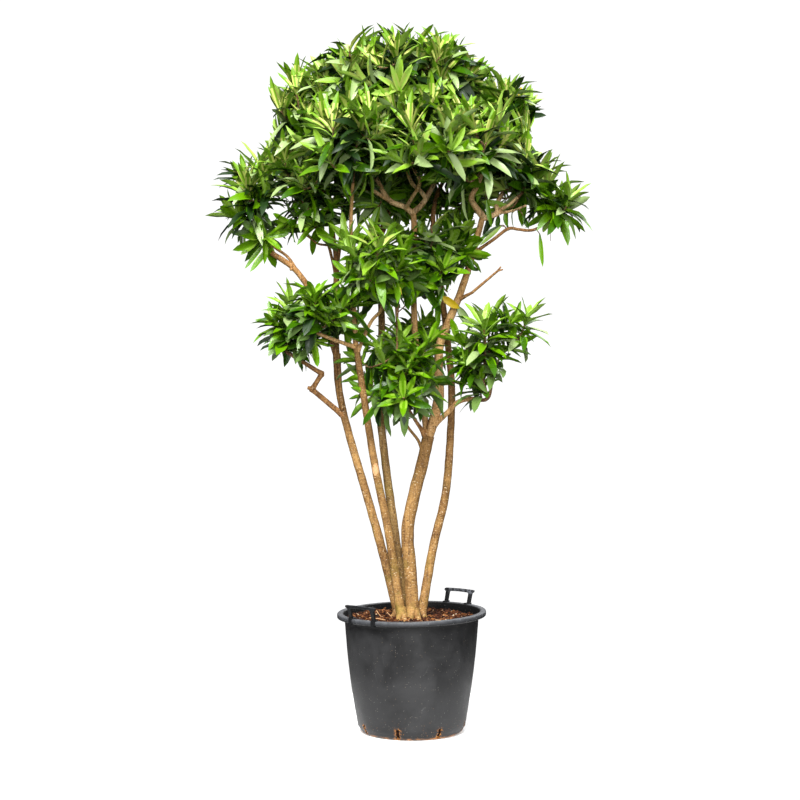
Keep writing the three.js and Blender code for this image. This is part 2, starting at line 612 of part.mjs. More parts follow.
function soil() {
  const within = WALL + GAP + 0.4;
  const middle = wallAt(WALL_MIDDLE) - within;
  const share = (SOIL_TOP - WALL_MIDDLE) / (LIP_FOOT - 6 - WALL_MIDDLE);
  return turned([
    [0, FLOOR + GAP],
    [wallAt(0) - FOOT_ROUNDING - 1, FLOOR + GAP],
    [wallAt(FOOT_ROUNDING) - within, FOOT_ROUNDING + 1],
    [middle, WALL_MIDDLE],
    [middle + (WALL_TOP_RADIUS - within - middle) * share, SOIL_TOP],
    [0, SOIL_TOP],
  ]);
}

// A handle: a strap bar on two posts, standing on the lip and leaning outward.
function handle() {
  const outline = new THREE.Shape();
  const half = HANDLE_SPAN / 2;
  const end = half + HANDLE_OVERHANG;
  const under = HANDLE_RISE - HANDLE_BAR;
  const inner = half - HANDLE_POST;
  const rightHalf = [[inner - 5, under], [inner, under - 4], [inner, 0], [half, 0], [half + 1, under - 2],
    [end, under + 3], [end, HANDLE_RISE - 2], [end - 5, HANDLE_RISE]];
  const leftHalf = rightHalf.map(([x, y]) => [-x, y]).reverse();
  outline.setFromPoints([...rightHalf, ...leftHalf].map(([x, y]) => new THREE.Vector2(x, y)));
  const lean = Math.tan(radians(HANDLE_LEAN_DEG));
  const strap = new THREE.ExtrudeGeometry(outline, { depth: HANDLE_THICK, bevelEnabled: false });
  return shaped(strap, ({ x, y, z }) => new THREE.Vector3(x, -(z - HANDLE_THICK / 2) - y * lean, y));
}

const plant = new THREE.Group();

function addPart(name, geometry, look, parent = plant) {
  const [color, roughness] = COLOURS[look];
  const mesh = new THREE.Mesh(geometry, new THREE.MeshStandardMaterial({ color, roughness, metalness: 0 }));
  mesh.name = name;
  parent.add(mesh);
  return mesh;
}

addPart("pot", pot(), "pot");
addPart("soil", soil(), "soil");
for (const [name, turn] of [["handle_front", 0], ["handle_back", Math.PI]]) {
  const seat = new THREE.Group();
  seat.rotation.z = turn - Math.PI / 2 + radians(HANDLE_TURN_DEG);
  plant.add(seat);
  const mesh = addPart(name, handle(), "handle", seat);
  mesh.position.set(0, -HANDLE_SEAT_RADIUS, POT_HEIGHT + GAP);
}
for (const limb of Object.values(limbs)) addPart(limb.name, geometryOf(limb.solid), "bark");
for (const mass of masses) addPart(mass.name, geometryOf(mass.solid), "leaf");

export default plant;
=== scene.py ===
"""A potted dracaena: ringed stems and boughs, tufts of strap leaves, and a scuffed black pot of bark mix.

Metres, +Z up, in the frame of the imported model. The front of the plant faces -Y.
"""
import math

import bmesh
import bpy
import numpy as np
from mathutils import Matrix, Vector, kdtree, noise


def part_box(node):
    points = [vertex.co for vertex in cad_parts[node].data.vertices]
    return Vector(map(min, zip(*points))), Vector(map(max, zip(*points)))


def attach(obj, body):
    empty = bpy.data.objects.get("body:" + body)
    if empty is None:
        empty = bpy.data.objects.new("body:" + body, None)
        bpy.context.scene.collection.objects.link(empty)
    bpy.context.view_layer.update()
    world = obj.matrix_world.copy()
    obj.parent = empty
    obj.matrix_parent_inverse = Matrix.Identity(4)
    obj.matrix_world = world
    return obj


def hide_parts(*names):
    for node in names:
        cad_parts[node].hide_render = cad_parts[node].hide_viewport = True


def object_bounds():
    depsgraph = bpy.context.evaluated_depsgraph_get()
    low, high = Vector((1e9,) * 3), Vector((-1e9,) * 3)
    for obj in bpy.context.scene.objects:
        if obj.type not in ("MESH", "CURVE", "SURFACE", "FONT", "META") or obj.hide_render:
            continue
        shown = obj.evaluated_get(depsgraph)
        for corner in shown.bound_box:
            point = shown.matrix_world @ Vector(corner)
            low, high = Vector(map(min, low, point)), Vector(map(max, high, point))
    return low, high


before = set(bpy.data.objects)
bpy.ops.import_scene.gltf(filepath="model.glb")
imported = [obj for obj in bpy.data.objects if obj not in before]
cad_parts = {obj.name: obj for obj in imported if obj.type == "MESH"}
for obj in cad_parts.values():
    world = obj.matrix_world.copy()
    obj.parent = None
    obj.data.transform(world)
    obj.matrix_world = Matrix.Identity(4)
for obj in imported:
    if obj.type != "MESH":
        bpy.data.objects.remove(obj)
cad_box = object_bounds()

BODY = "root"
UP = np.array((0.0, 0.0, 1.0))
EAST = np.array((1.0, 0.0, 0.0))
GAP = 0.0003
FULL_TURN = 2 * math.pi
GOLDEN_TURN = math.pi * (3 - math.sqrt(5))
STEEP = 0.9
CURVE_STEPS = 20
DRAW_FACTOR = 1664525
DRAW_STEP = 1013904223
DRAW_RANGE = 4294967296

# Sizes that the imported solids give
POT_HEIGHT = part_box("pot")[1].z
LIP_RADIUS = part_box("pot")[1].x
SOIL_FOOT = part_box("soil")[0].z
SOIL_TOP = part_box("soil")[1].z
SOIL_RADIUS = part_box("soil")[1].x

# The pot's section, drain slots and handles
LIP_DEPTH = 0.017
LIP_FOOT = POT_HEIGHT - LIP_DEPTH
WALL_TOP_RADIUS = 0.248
WALL_FOOT_RADIUS = 0.194
WALL_BULGE = 0.007
FOOT_ROUNDING = 0.024
WALL = 0.005
FLOOR = 0.006
POT_SEGMENTS = 144
RIM_TILT = 0.022
RIM_RISE = 0.015
POT_CREASE_DEG = 50
LIP_UNDER_ROUND = 0.005
LIP_OUTER_ROUND = 0.004
LIP_INNER_ROUND = 0.006
INSIDE_FROM = 0.0035
LIP_NECK = 0.004
LIP_LEDGE = 0.012
LIP_INNER_START = 0.009
WALL_RINGS = 30
INSIDE_RINGS = 6
INSIDE_DROP = 0.02
OVAL_SHARE = 0.0022
OVAL_PHASE = 0.7
SOFT_SHARE = 0.006
FINE_SHARE = 0.0012
PLAIN_FOOT = 0.02
SLOT_COUNT = 8
SLOT_FIRST_DEG = -15
SLOT_WIDTH = 0.013
SLOT_HEIGHT = 0.038
SLOT_DEPTH = 0.03
SLOT_FOOT = 0.004
SLOT_INSET = 0.004
SLOT_TAPER = 0.12
HANDLE_TURN_DEG = 48
HANDLE_SEAT_RADIUS = 0.264
HANDLE_SPAN = 0.126
HANDLE_OVERHANG = 0.009
HANDLE_RISE = 0.051
HANDLE_POST = 0.015
HANDLE_BAR = 0.011
HANDLE_THICK = 0.009
HANDLE_LEAN_DEG = 15
HANDLE_CROWN = 0.0015
HANDLE_BEVEL = 0.0014
HANDLE_CREASE_DEG = 55
HANDLE_EASE = 0.005
TONGUE_PAST_LIP = 0.0035
TONGUE_WIDTH = HANDLE_POST + 0.003
OUTER_TONGUE = (LIP_FOOT - 0.003, POT_HEIGHT + 0.003, LIP_RADIUS - 0.004)
UPPER_TONGUE = (POT_HEIGHT - 0.002, POT_HEIGHT + 0.004, LIP_RADIUS - 0.022)

# Bark: how closely limbs are ringed, and the height of their relief
RING_STEP = 0.0045
STEM_SIDES = 18
BOUGH_SIDES = 12
FLARE = 0.006
FLARE_REACH = 0.022
FOOT_SUNK = 0.012
LUMP_SHARE = 0.09
SCAR_SPACING = 0.014
SCAR_HEIGHT = 0.0005
COLLAR_SHARE = 0.45
COLLAR_REACH = 0.016
KNUCKLE_SHARE = 0.25
KNUCKLE_REACH = 0.014
SHARP_BEND = 0.12
BEND_SWELL = 1.6
ELBOW_REACH = 0.012
FOOT_LOBES = 0.14
SCAR_DRIFT = 1.1
SCAR_SPREAD = 0.016
SCAR_LEAST = 0.8
SCAR_UNEVEN = 0.6
LUMP_ROUND = 0.8
LUMP_ALONG = 26
SCAR_ALONG = 60
DRIFT_ALONG = 34
FOOT_LOBE_COUNT = 3
LIMB_SEED_STEP = 3.7
STRAY_SEED = 0.4
ROOT_SEED = 0.7

# Shoots: how the twigs in each mass spread and fork
SPREAD_DEG = 112
TURN_SCATTER = 0.6
OUTWARD_AIM = 0.75
UPWARD_AIM = 0.7
APEX_MARGIN = 0.055
PULL_IN = 0.12
PULL_TRIES = 12
FIRST_RUN = 0.022
FIRST_SHARE = 0.25
FORK_SHARE = 0.3
TWIG_TAPER = 0.82
TWIG_LEAST = 0.0045
TWIG_SIDES = 7
TWIG_STEP = 0.009
SHOOT_BEND = 0.45
TIP_STEEP = 0.95
TWIG_CURVE_STEPS = 12
TWIG_LOOK = np.linspace(0.3, 1, 8)
TWIG_SEED_STEP = 0.1
SHOOT_END = 0.0028
LEAF_PAST_APEX = 0.095
SHOOT_SEED = 1000
SEED_STEP = 77

# Finer side twigs that each shoot carries
SIDE_SEED = 9000
SIDE_TRIES = 9
SIDE_FIRST = 0.045
SIDE_STEP = 0.03
SIDE_LENGTH = 0.105
SIDE_RADIUS = 0.0032
SIDE_MARGIN = 0.075
TIP_SPACING = 0.078
TIP_LIFT = 0.022
SIDE_ROOM = 0.012
SIDE_LAST = 0.9
SIDE_AHEAD = 0.5
SIDE_OUT = 0.85
SIDE_UP = 0.3
SIDE_BENT_AT = 0.6
SIDE_LOOK = 0.03
SIDE_SHORTEST = 0.75
SIDE_SCATTER = 0.5
SIDE_FIRST_SHARE = 0.8
SIDE_GROWTH = 0.12
SIDE_CURVE_STEPS = 8
CLOSING_STARTS = np.linspace(0.1, 0.9, 17)
CLOSING_SPACING = 0.75 * TIP_SPACING
CLOSING_ROOM = 0.008
CLOSING_RUN = 0.05
CLOSING_SAG = 0.16
HANGING_RADIUS = 0.0046
STALK_SEED = 40.0
STALK_RINGS = 10

# Leaves at real size, with the outline of half a blade from stalk to point
LEAF_LENGTH = 0.15
YOUNG_BREADTH = 0.165
OLD_BREADTH = 0.2
SHADE_BREADTH = 0.4
LEAF_LIFT = 0.9
LEAF_STATIONS = np.array((0.0, 0.1, 0.26, 0.45, 0.65, 0.84, 1.0))
LEAF_OUTLINE = np.array((0.26, 0.46, 0.84, 1.0, 0.95, 0.64))
MAIN_LEAVES = 26
SIDE_LEAVES = 22
MAIN_RUN = 0.15
SIDE_RUN = 0.1
LEAF_PAST_REACH = 1.1
PLACED_PAST_REACH = 2.0
LEAF_PAST_BOX = 0.026
LIMB_CLEARANCE = 0.002
YOUNG_AGE = 0.34
MIDDLE_AGE = 0.56
DARK_AGE = 0.74
YELLOW_AGE = 0.75
YELLOW_SHARE = 0.006
# Leaves in pale grey-green that stand in for the sky's sheen on glossy leaves: painted sheen, given to more
# leaves in the shade
PAINTED_SHEEN_SHARE = 0.25
PAINTED_SHEEN_MOST = 2.2
PAINTED_SHEEN_FALL = 2
PALER_SHARE = 0.3
YOUNG_STRIPE = 0.36
OLD_STRIPE = 0.7
SIDE_SIZE = 0.96
SIDE_SHADE = 0.08
ACROSS = 5
CLEAR_STATION = 4
ROOT_FOLD = 0.5
WAVE_HEIGHT = 0.16
WAVES_ALONG = 1.7

# A rosette: how its leaves stand and differ, by age from 0 at the tip to 1 and by shade from 0 to 1
LONGEST_SPAN = 0.92
AGE_SPACING = 1.1
AXIS_LOOK = 0.02
SHADE_LIFT = 0.65
LEAF_TURN_SCATTER = 0.4
YOUNGEST_SIZE = 0.84
SIZE_BY_AGE = 0.5
LEAST_LENGTH = 0.88
LENGTH_SCATTER = 0.24
SHADE_SHORTER = 0.2
BREADTH_BY_AGE = 1.6
LEAN_DEG = 12
LEAN_BY_SHADE = 18
LEAN_BY_AGE = 76
LEAN_LESS_IN_SHADE = 8
LEAN_POWER = 0.85
LEAN_SCATTER = 14
CURVE_DEG = 8
CURVE_BY_AGE = 44
CURVE_SCATTER = 20
LEAST_SAG = 0.02
SAG_BY_AGE = 0.2
SWAY_SCATTER = 0.36
TWIST_SCATTER = 0.7
YOUNG_FOLD = 0.5
FOLD_BY_AGE = 0.28
LEAST_WIDTH = 0.9
WIDTH_SCATTER = 0.2

# How much light a leaf's place gets, from 0 to 1, where its colours change
OPEN_LIGHT = 0.62
FULL_LIGHT = 0.58
FAIR_LIGHT = 0.52
HALF_LIGHT = 0.46
DIM_LIGHT = 0.34
SHADE_LIGHT = 0.3
DEEP_SHADE = 0.26
CROWN_FOOT = 1.3
CROWN_DEPTH = 1.3
LEAST_LIGHT = 0.03
OWN_LIGHT = 0.36
CROWN_LIGHT = 0.6
BURIED_AT = 0.5
BURIED_SHADE = 0.6
LIGHT_SCATTER = 0.2
SHADE_RANGE = 0.26

# The mix: its mound at the stems, its rise to the wall, and the bed that chips lie on
MOUND_RISE = 0.012
MOUND_HALF_X = 0.1
MOUND_HALF_Y = 0.09
WALL_RISE = 0.01
LUMP_RISE = 0.006
CRUMB_RISE = 0.003
MIX_GAP = 0.001
MIX_SEGMENTS = 96
BED_RINGS = 16
BED_SEGMENTS = 48
BED_MARGIN = 0.008
BED_LIFT = 0.001
BED_CORE = 0.2
LUMPS_A_METRE = 22
CRUMBS_A_METRE = 70
MIX_EDGE = 0.01
MIX_RINGS = 8
MIX_TOP_SHARES = np.linspace(0.97, 0.03, 30)

# Shoots that close the gaps between the masses of the upper crown
FILL_SEED = 400
FILL_STEP = 0.062
FILL_CORE = 0.58
FILL_FAR = 0.78
FILL_NEAR = 1.16
UPPER_CROWN = 1.97
FILL_FOOT = 0.05
FILL_LOOK = np.linspace(0.06, 0.3, 5)
HEART_DROP = 0.2

# The pale floor, the sky, the suns by place, spread and power, and the camera
FLOOR_RADIUS = 0.8
FLOOR_SUNK = 0.0005
FLOOR_SEGMENTS = 96
FLOOR_COLOUR = (0.8, 0.8, 0.8, 1.0)
FLOOR_GLOW = 0.25
SKY_LOW = -0.15
SKY_LEAST = 0.05
SKY_MOST = 0.55
BACKDROP_GLOW = 1.1
LIGHTS = (
    ("key", (-0.9, -3.2, 3.7), 25.0, 6.1),
    ("front", (0.6, -5.0, 1.5), 50.0, 3.2),
    ("back", (1.2, 3.0, 4.0), 60.0, 1.9),
)
CAMERA_PLACE = (-0.0429, -5.9, 1.223)
CAMERA_LENS = 71.76
CAMERA_SENSOR = 36.0
CAMERA_FAR = 200.0
WHITE = (1.0, 1.0, 1.0, 1.0)

# Stems: foot on the mix, radius at both ends, places up to the tip
STEMS = {
    "stem_left": ((-0.045, 0.026), (0.018, 0.011), (
        (-0.104, 0.03, 0.645), (-0.158, 0.035, 0.84), (-0.252, 0.04, 1.17), (-0.28, 0.045, 1.38),
        (-0.28, 0.06, 1.74))),
    "stem_front": ((-0.036, -0.017), (0.017, 0.012), (
        (-0.085, -0.025, 0.735), (-0.133, -0.035, 0.97), (-0.175, -0.045, 1.23), (-0.205, -0.055, 1.425))),
    "stem_back": ((-0.019, 0.034), (0.018, 0.011), (
        (-0.066, 0.055, 0.755), (-0.1, 0.07, 1.01), (-0.125, 0.085, 1.27), (-0.112, 0.098, 1.52),
        (-0.13, 0.135, 1.885))),
    "stem_knee": ((0.006, -0.006), (0.025, 0.022), (
        (-0.005, -0.006, 0.59), (-0.015, -0.009, 0.735), (0.008, -0.01, 0.865), (0.037, -0.01, 0.98),
        (0.062, -0.01, 1.09))),
    "stem_right": ((0.033, 0.009), (0.0175, 0.0115), (
        (0.08, 0.02, 0.675), (0.13, 0.035, 0.9), (0.15, 0.06, 1.225), (0.138, 0.08, 1.42),
        (0.11, 0.115, 1.655))),
}

# Boughs: carrier, share of its length, radius at both ends, places up to the tip
BOUGHS = {
    "bough_main": ("stem_knee", 1, (0.019, 0.0105), (
        (0.101, -0.015, 1.225), (0.099, -0.012, 1.371), (0.113, -0.008, 1.454), (0.178, 0.0, 1.612),
        (0.223, -0.01, 1.755), (0.262, -0.02, 1.9))),
    "bough_up": ("stem_knee", 0.985, (0.012, 0.011), (
        (0.04, 0.02, 1.22), (0.02, 0.03, 1.37), (0.008, 0.028, 1.6), (0.01, 0.012, 1.85),
        (0.005, 0.005, 1.925))),
    "bough_low_right": ("bough_main", 0.04, (0.0105, 0.008), (
        (0.134, -0.035, 1.179), (0.161, -0.05, 1.209), (0.191, -0.068, 1.224), (0.222, -0.088, 1.226))),
    "bough_low_mid": ("stem_knee", 0.985, (0.007, 0.0055), ((0.012, -0.045, 1.151), (-0.018, -0.085, 1.2))),
    "bough_zigzag": ("stem_left", 0.572, (0.011, 0.0075), (
        (-0.368, 0.0, 1.262), (-0.332, -0.012, 1.32), (-0.438, -0.03, 1.387))),
    "bough_far_left": ("stem_left", 0.745, (0.0125, 0.01), (
        (-0.335, 0.015, 1.556), (-0.388, 0.0, 1.649), (-0.438, -0.012, 1.712), (-0.518, -0.022, 1.766))),
    "bough_far_left_shoot": ("bough_far_left", 0.7, (0.0055, 0.005), (
        (-0.458, 0.008, 1.752), (-0.508, -0.002, 1.789), (-0.548, -0.01, 1.838))),
    "bough_left_front": ("stem_front", 0.99, (0.008, 0.0055), (
        (-0.29, -0.095, 1.445), (-0.35, -0.11, 1.468))),
    "bough_front_left": ("stem_front", 1, (0.009, 0.006), (
        (-0.215, -0.11, 1.66), (-0.22, -0.15, 1.845), (-0.212, -0.19, 2.0))),
    "bough_mid_front": ("stem_front", 0.97, (0.007, 0.0055), (
        (-0.15, -0.088, 1.505), (-0.112, -0.112, 1.55), (-0.115, -0.128, 1.605))),
    "bough_left_top": ("stem_left", 1, (0.009, 0.006), (
        (-0.305, 0.05, 1.915), (-0.345, 0.02, 2.06), (-0.385, 0.0, 2.15))),
    "bough_left_back": ("stem_left", 0.99, (0.009, 0.006), (
        (-0.258, 0.112, 1.9), (-0.268, 0.17, 2.05), (-0.28, 0.205, 2.135))),
    "bough_left_inner": ("stem_left", 0.96, (0.006, 0.005), (
        (-0.308, 0.022, 1.795), (-0.33, -0.005, 1.855))),
    "bough_top_back": ("stem_back", 0.95, (0.009, 0.006), (
        (-0.088, 0.172, 1.93), (-0.08, 0.19, 2.09), (-0.075, 0.185, 2.33))),
    "bough_top_left": ("bough_up", 0.985, (0.0105, 0.006), (
        (-0.026, 0.005, 1.938), (-0.08, 0.012, 1.962), (-0.119, 0.005, 2.022), (-0.16, 0.0, 2.11),
        (-0.212, -0.02, 2.262))),
    "bough_back": ("stem_back", 0.93, (0.009, 0.006), ((-0.095, 0.205, 1.96), (-0.025, 0.3, 2.15))),
    "bough_low_back": ("stem_back", 0.585, (0.006, 0.005), ((-0.078, 0.155, 1.312), (-0.05, 0.19, 1.348))),
    "bough_top_right": ("bough_up", 0.99, (0.011, 0.006), (
        (0.04, 0.0, 1.948), (0.062, 0.0, 1.985), (0.09, -0.002, 2.05), (0.132, -0.005, 2.245))),
    "bough_top_front": ("bough_top_right", 0.2, (0.008, 0.006), (
        (0.031, -0.022, 1.995), (-0.003, -0.05, 2.026), (-0.02, -0.08, 2.1), (-0.012, -0.12, 2.24))),
    "bough_front": ("bough_top_left", 0.08, (0.007, 0.0055), (
        (-0.002, -0.065, 1.958), (0.028, -0.125, 2.008), (0.008, -0.205, 2.045))),
    "bough_right_front": ("bough_main", 1, (0.0125, 0.007), (
        (0.232, -0.048, 1.935), (0.218, -0.078, 1.962), (0.24, -0.108, 2.005), (0.258, -0.138, 2.05))),
    "bough_right_top": ("bough_main", 0.99, (0.01, 0.006), (
        (0.29, -0.02, 1.9), (0.316, -0.018, 1.914), (0.314, -0.008, 1.945), (0.334, 0.005, 1.985),
        (0.368, 0.018, 2.066))),
    "bough_right_low": ("bough_right_top", 0.3, (0.0065, 0.005), (
        (0.355, -0.045, 1.938), (0.388, -0.062, 1.966))),
    "bough_far_right": ("bough_main", 0.83, (0.0065, 0.005), (
        (0.3, -0.03, 1.813), (0.354, -0.04, 1.852), (0.392, -0.04, 1.85), (0.428, -0.04, 1.846),
        (0.46, -0.038, 1.853), (0.505, -0.03, 1.886))),
    "dead_twig": ("bough_main", 0.62, (0.006, 0.004), ((0.222, -0.03, 1.618), (0.318, -0.07, 1.698))),
    "bough_right_back": ("stem_right", 1, (0.0105, 0.0065), (
        (0.092, 0.132, 1.8), (0.084, 0.14, 1.94), (0.128, 0.165, 2.062), (0.215, 0.215, 2.13))),
    "bough_mid_right": ("stem_right", 0.9, (0.006, 0.005), ((0.108, 0.04, 1.598), (0.062, -0.042, 1.672))),
}

# Masses of foliage: limb that carries it, centre, reach each way, number of shoots
MASSES = {
    "foliage_far_left": ("bough_far_left_shoot", (-0.58, -0.015, 1.945), (0.17, 0.175, 0.205), 4),
    "foliage_low_left": ("bough_zigzag", (-0.44, -0.035, 1.487), (0.175, 0.175, 0.165), 3),
    "foliage_left_front": ("bough_left_front", (-0.342, -0.123, 1.541), (0.185, 0.165, 0.185), 5),
    "foliage_left_inner": ("bough_left_inner", (-0.402, -0.034, 1.98), (0.18, 0.175, 0.195), 3),
    "foliage_left_top": ("bough_left_top", (-0.402, -0.01, 2.27), (0.17, 0.19, 0.23), 5),
    "foliage_left_back": ("bough_left_back", (-0.3, 0.265, 2.28), (0.22, 0.22, 0.225), 4),
    "foliage_front_left": ("bough_front_left", (-0.235, -0.24, 2.115), (0.205, 0.205, 0.22), 5),
    "foliage_mid_front": ("bough_mid_front", (-0.15, -0.165, 1.705), (0.21, 0.19, 0.222), 5),
    "foliage_top_left": ("bough_top_left", (-0.205, -0.03, 2.39), (0.172, 0.19, 0.208), 4),
    "foliage_top_back": ("bough_top_back", (-0.06, 0.2, 2.44), (0.215, 0.205, 0.19), 4),
    "foliage_back": ("bough_back", (-0.005, 0.375, 2.255), (0.24, 0.205, 0.22), 4),
    "foliage_top_front": ("bough_top_front", (-0.03, -0.15, 2.4), (0.19, 0.19, 0.205), 4),
    "foliage_front": ("bough_front", (0.025, -0.305, 2.128), (0.205, 0.205, 0.19), 5),
    "foliage_top_right": ("bough_top_right", (0.145, 0.0, 2.395), (0.185, 0.205, 0.2), 4),
    "foliage_right_front": ("bough_right_front", (0.225, -0.195, 2.105), (0.19, 0.205, 0.215), 5),
    "foliage_right_top": ("bough_right_top", (0.362, 0.025, 2.24), (0.152, 0.205, 0.218), 4),
    "foliage_right_low": ("bough_right_low", (0.41, -0.05, 2.005), (0.18, 0.175, 0.17), 4),
    "foliage_far_right": ("bough_far_right", (0.54, -0.025, 1.925), (0.145, 0.155, 0.14), 3),
    "foliage_right_back": ("bough_right_back", (0.305, 0.275, 2.265), (0.22, 0.22, 0.225), 4),
    "foliage_mid_right": ("bough_mid_right", (0.085, -0.075, 1.765), (0.17, 0.17, 0.22), 4),
    "foliage_low_mid": ("bough_low_mid", (-0.045, -0.12, 1.285), (0.19, 0.17, 0.215), 5),
    "foliage_low_right": ("bough_low_right", (0.274, -0.105, 1.425), (0.197, 0.185, 0.216), 4),
    "foliage_low_back": ("bough_low_back", (-0.03, 0.225, 1.4), (0.185, 0.185, 0.19), 4),
    "foliage_inner": ("stem_back", (-0.14, 0.075, 2.005), (0.165, 0.16, 0.165), 3),
}


# Curves and frames
def unit(v):
    v = np.asarray(v, float)
    return v / np.linalg.norm(v, axis=-1, keepdims=True)


def smooth_path(places, steps=CURVE_STEPS):
    """A smooth curve through the places, as closely set points."""
    places = np.asarray(places, float)
    ends = np.vstack([2 * places[0] - places[1], places, 2 * places[-1] - places[-2]])
    t = np.linspace(0, 1, steps, endpoint=False)[:, None]
    parts = []
    for a, b, c, d in zip(ends, ends[1:], ends[2:], ends[3:]):
        curve = 2 * b + (c - a) * t + (2 * a - 5 * b + 4 * c - d) * t**2 + (3 * b - a - 3 * c + d) * t**3
        parts.append(0.5 * curve)
    return np.vstack(parts + [places[-1:]])


def run_along(path):
    steps = np.linalg.norm(np.diff(path, axis=0), axis=1)
    return np.concatenate([[0.0], np.cumsum(steps)])


def along(path, shares):
    """Points at shares of a path's length."""
    run = run_along(path)
    at = np.asarray(shares, float) * run[-1]
    return np.stack([np.interp(at, run, path[:, k]) for k in range(3)], axis=-1)


def side_of(axis, steep=STEEP):
    """A direction square to an axis, level unless the axis is steep."""
    return np.cross(axis, EAST if abs(axis[2]) > steep else UP)


def frames_along(path):
    """The tangent and two square directions at each point, carried along without twist."""
    tangents = unit(np.gradient(path, axis=0))
    normal = side_of(tangents[0])
    normals = []
    for tangent in tangents:
        normal = unit(normal - normal.dot(tangent) * tangent)
        normals.append(normal)
    normals = np.array(normals)
    return tangents, normals, np.cross(tangents, normals)


def square_to(axis):
    """Two directions square to an axis and to each other."""
    normal = unit(side_of(axis))
    return normal, np.cross(axis, normal)


def seeded(seed):
    """Draws numbers from 0 to 1 by the rule that the part's source uses."""
    state = seed

    def draw():
        nonlocal state
        state = (state * DRAW_FACTOR + DRAW_STEP) % DRAW_RANGE
        return state / DRAW_RANGE

    return draw


# Meshes
class Joined:
    """Gathers the points and faces of many small shapes for one mesh."""

    def __init__(self):
        self.points = []
        self.faces = []
        self.uv = []
        self.finish = []

    def add(self, points, faces, uv, finish):
        start = len(self.points)
        self.points.extend(points)
        self.faces.extend([tuple(start + i for i in face) for face in faces])
        self.uv.extend(uv)
        self.finish.extend(finish)


def mesh_object(name, points, faces, finishes, face_finish=None, uv=None):
    mesh = bpy.data.meshes.new(name)
    mesh.from_pydata([tuple(p) for p in points], [], faces)
    for finish in finishes:
        mesh.materials.append(finish)
    if face_finish is not None:
        mesh.polygons.foreach_set("material_index", np.asarray(face_finish, np.int32))
    if uv is not None:
        layer = mesh.uv_layers.new(name="UVMap")
        layer.data.foreach_set("uv", np.asarray(uv, np.float32).ravel())
    mesh.shade_smooth()
    mesh.update()
    return linked(name, mesh)


def set_in_frame(obj, slot, *stands_for):
    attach(obj, BODY)
    if stands_for:
        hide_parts(*stands_for)


def joined_piece(name, whole, finishes, slot, *stands_for):
    obj = mesh_object(name, whole.points, whole.faces, finishes, whole.finish, whole.uv)
    set_in_frame(obj, slot, *stands_for)


def linked(name, mesh):
    obj = bpy.data.objects.new(name, mesh)
    bpy.context.scene.collection.objects.link(obj)
    return obj


def tube(path, radii, finish=0, cap_finish=None):
    """A closed tube of rings by sides: points, faces, UV (turn, metres along) and each face's finish."""
    rings, sides = radii.shape
    tangents, normals, binormals = frames_along(path)
    turn = FULL_TURN * np.arange(sides) / sides
    out = np.cos(turn)[None, :, None] * normals[:, None] + np.sin(turn)[None, :, None] * binormals[:, None]
    wall = (path[:, None] + radii[..., None] * out).reshape(-1, 3)
    points = np.vstack([wall, path[:1], path[-1:]])
    run = run_along(path)
    faces = []
    uv = []
    for i in range(rings - 1):
        for j in range(sides):
            k = (j + 1) % sides
            faces.append((i * sides + j, i * sides + k, (i + 1) * sides + k, (i + 1) * sides + j))
            left, right = j / sides, (j + 1) / sides
            uv.extend([(left, run[i]), (right, run[i]), (right, run[i + 1]), (left, run[i + 1])])
    last = (rings - 1) * sides
    for j in range(sides):
        k = (j + 1) % sides
        faces.append((rings * sides, k, j))
        uv.extend([(j / sides, run[0])] * 3)
        faces.append((rings * sides + 1, last + j, last + k))
        uv.extend([(j / sides, run[-1])] * 3)
    kinds = [finish] * ((rings - 1) * sides)
    for _ in range(sides):
        kinds.extend([finish, finish if cap_finish is None else cap_finish])
    return points, faces, uv, kinds


# Shader building
def colour(code):
    """A colour code as the linear numbers that shaders take."""
    parts = [int(code[i:i + 2], 16) / 255 for i in (1, 3, 5)]
    return (*[v / 12.92 if v <= 0.04045 else ((v + 0.055) / 1.055) ** 2.4 for v in parts], 1.0)


def add_node(tree, kind, inputs=None, **settings):
    node = tree.nodes.new(kind)
    for key, value in settings.items():
        setattr(node, key, value)
    for key, value in (inputs or {}).items():
        socket = node.inputs[key]
        if isinstance(value, bpy.types.NodeSocket):
            tree.links.new(value, socket)
        else:
            socket.default_value = value
    return node


def mixed(tree, factor, a, b):
    return add_node(tree, "ShaderNodeMix", {0: factor, 6: a, 7: b}, data_type="RGBA").outputs[2]


def maths(tree, operation, a, b=0.0):
    return add_node(tree, "ShaderNodeMath", {0: a, 1: b}, operation=operation).outputs[0]


def times(tree, a, b):
    return maths(tree, "MULTIPLY", a, b)


def plus(tree, a, b):
    return maths(tree, "ADD", a, b)


def minus(tree, a, b):
    return maths(tree, "SUBTRACT", a, b)


def weighted(tree, *parts):
    """The sum of values, each times its weight."""
    total = times(tree, *parts[0])
    for part in parts[1:]:
        total = plus(tree, total, times(tree, *part))
    return total


def own_place(tree):
    return add_node(tree, "ShaderNodeTexCoord").outputs["Object"]


def xyz(tree, vector):
    return add_node(tree, "ShaderNodeSeparateXYZ", {0: vector}).outputs


def ranged(tree, value, low, high, to_low=0.0, to_high=1.0):
    spans = {"Value": value, "From Min": low, "From Max": high, "To Min": to_low, "To Max": to_high}
    return add_node(tree, "ShaderNodeMapRange", spans).outputs[0]


def speckled(tree, vector, scale, detail=4.0, roughness=0.55, distortion=0.0):
    values = {"Vector": vector, "Scale": scale, "Detail": detail, "Roughness": roughness,
              "Distortion": distortion}
    return add_node(tree, "ShaderNodeTexNoise", values).outputs[0]


def stretched(tree, vector, scale, turn=(0.0, 0.0, 0.0)):
    values = {"Vector": vector, "Scale": scale, "Rotation": turn}
    return add_node(tree, "ShaderNodeMapping", values).outputs[0]


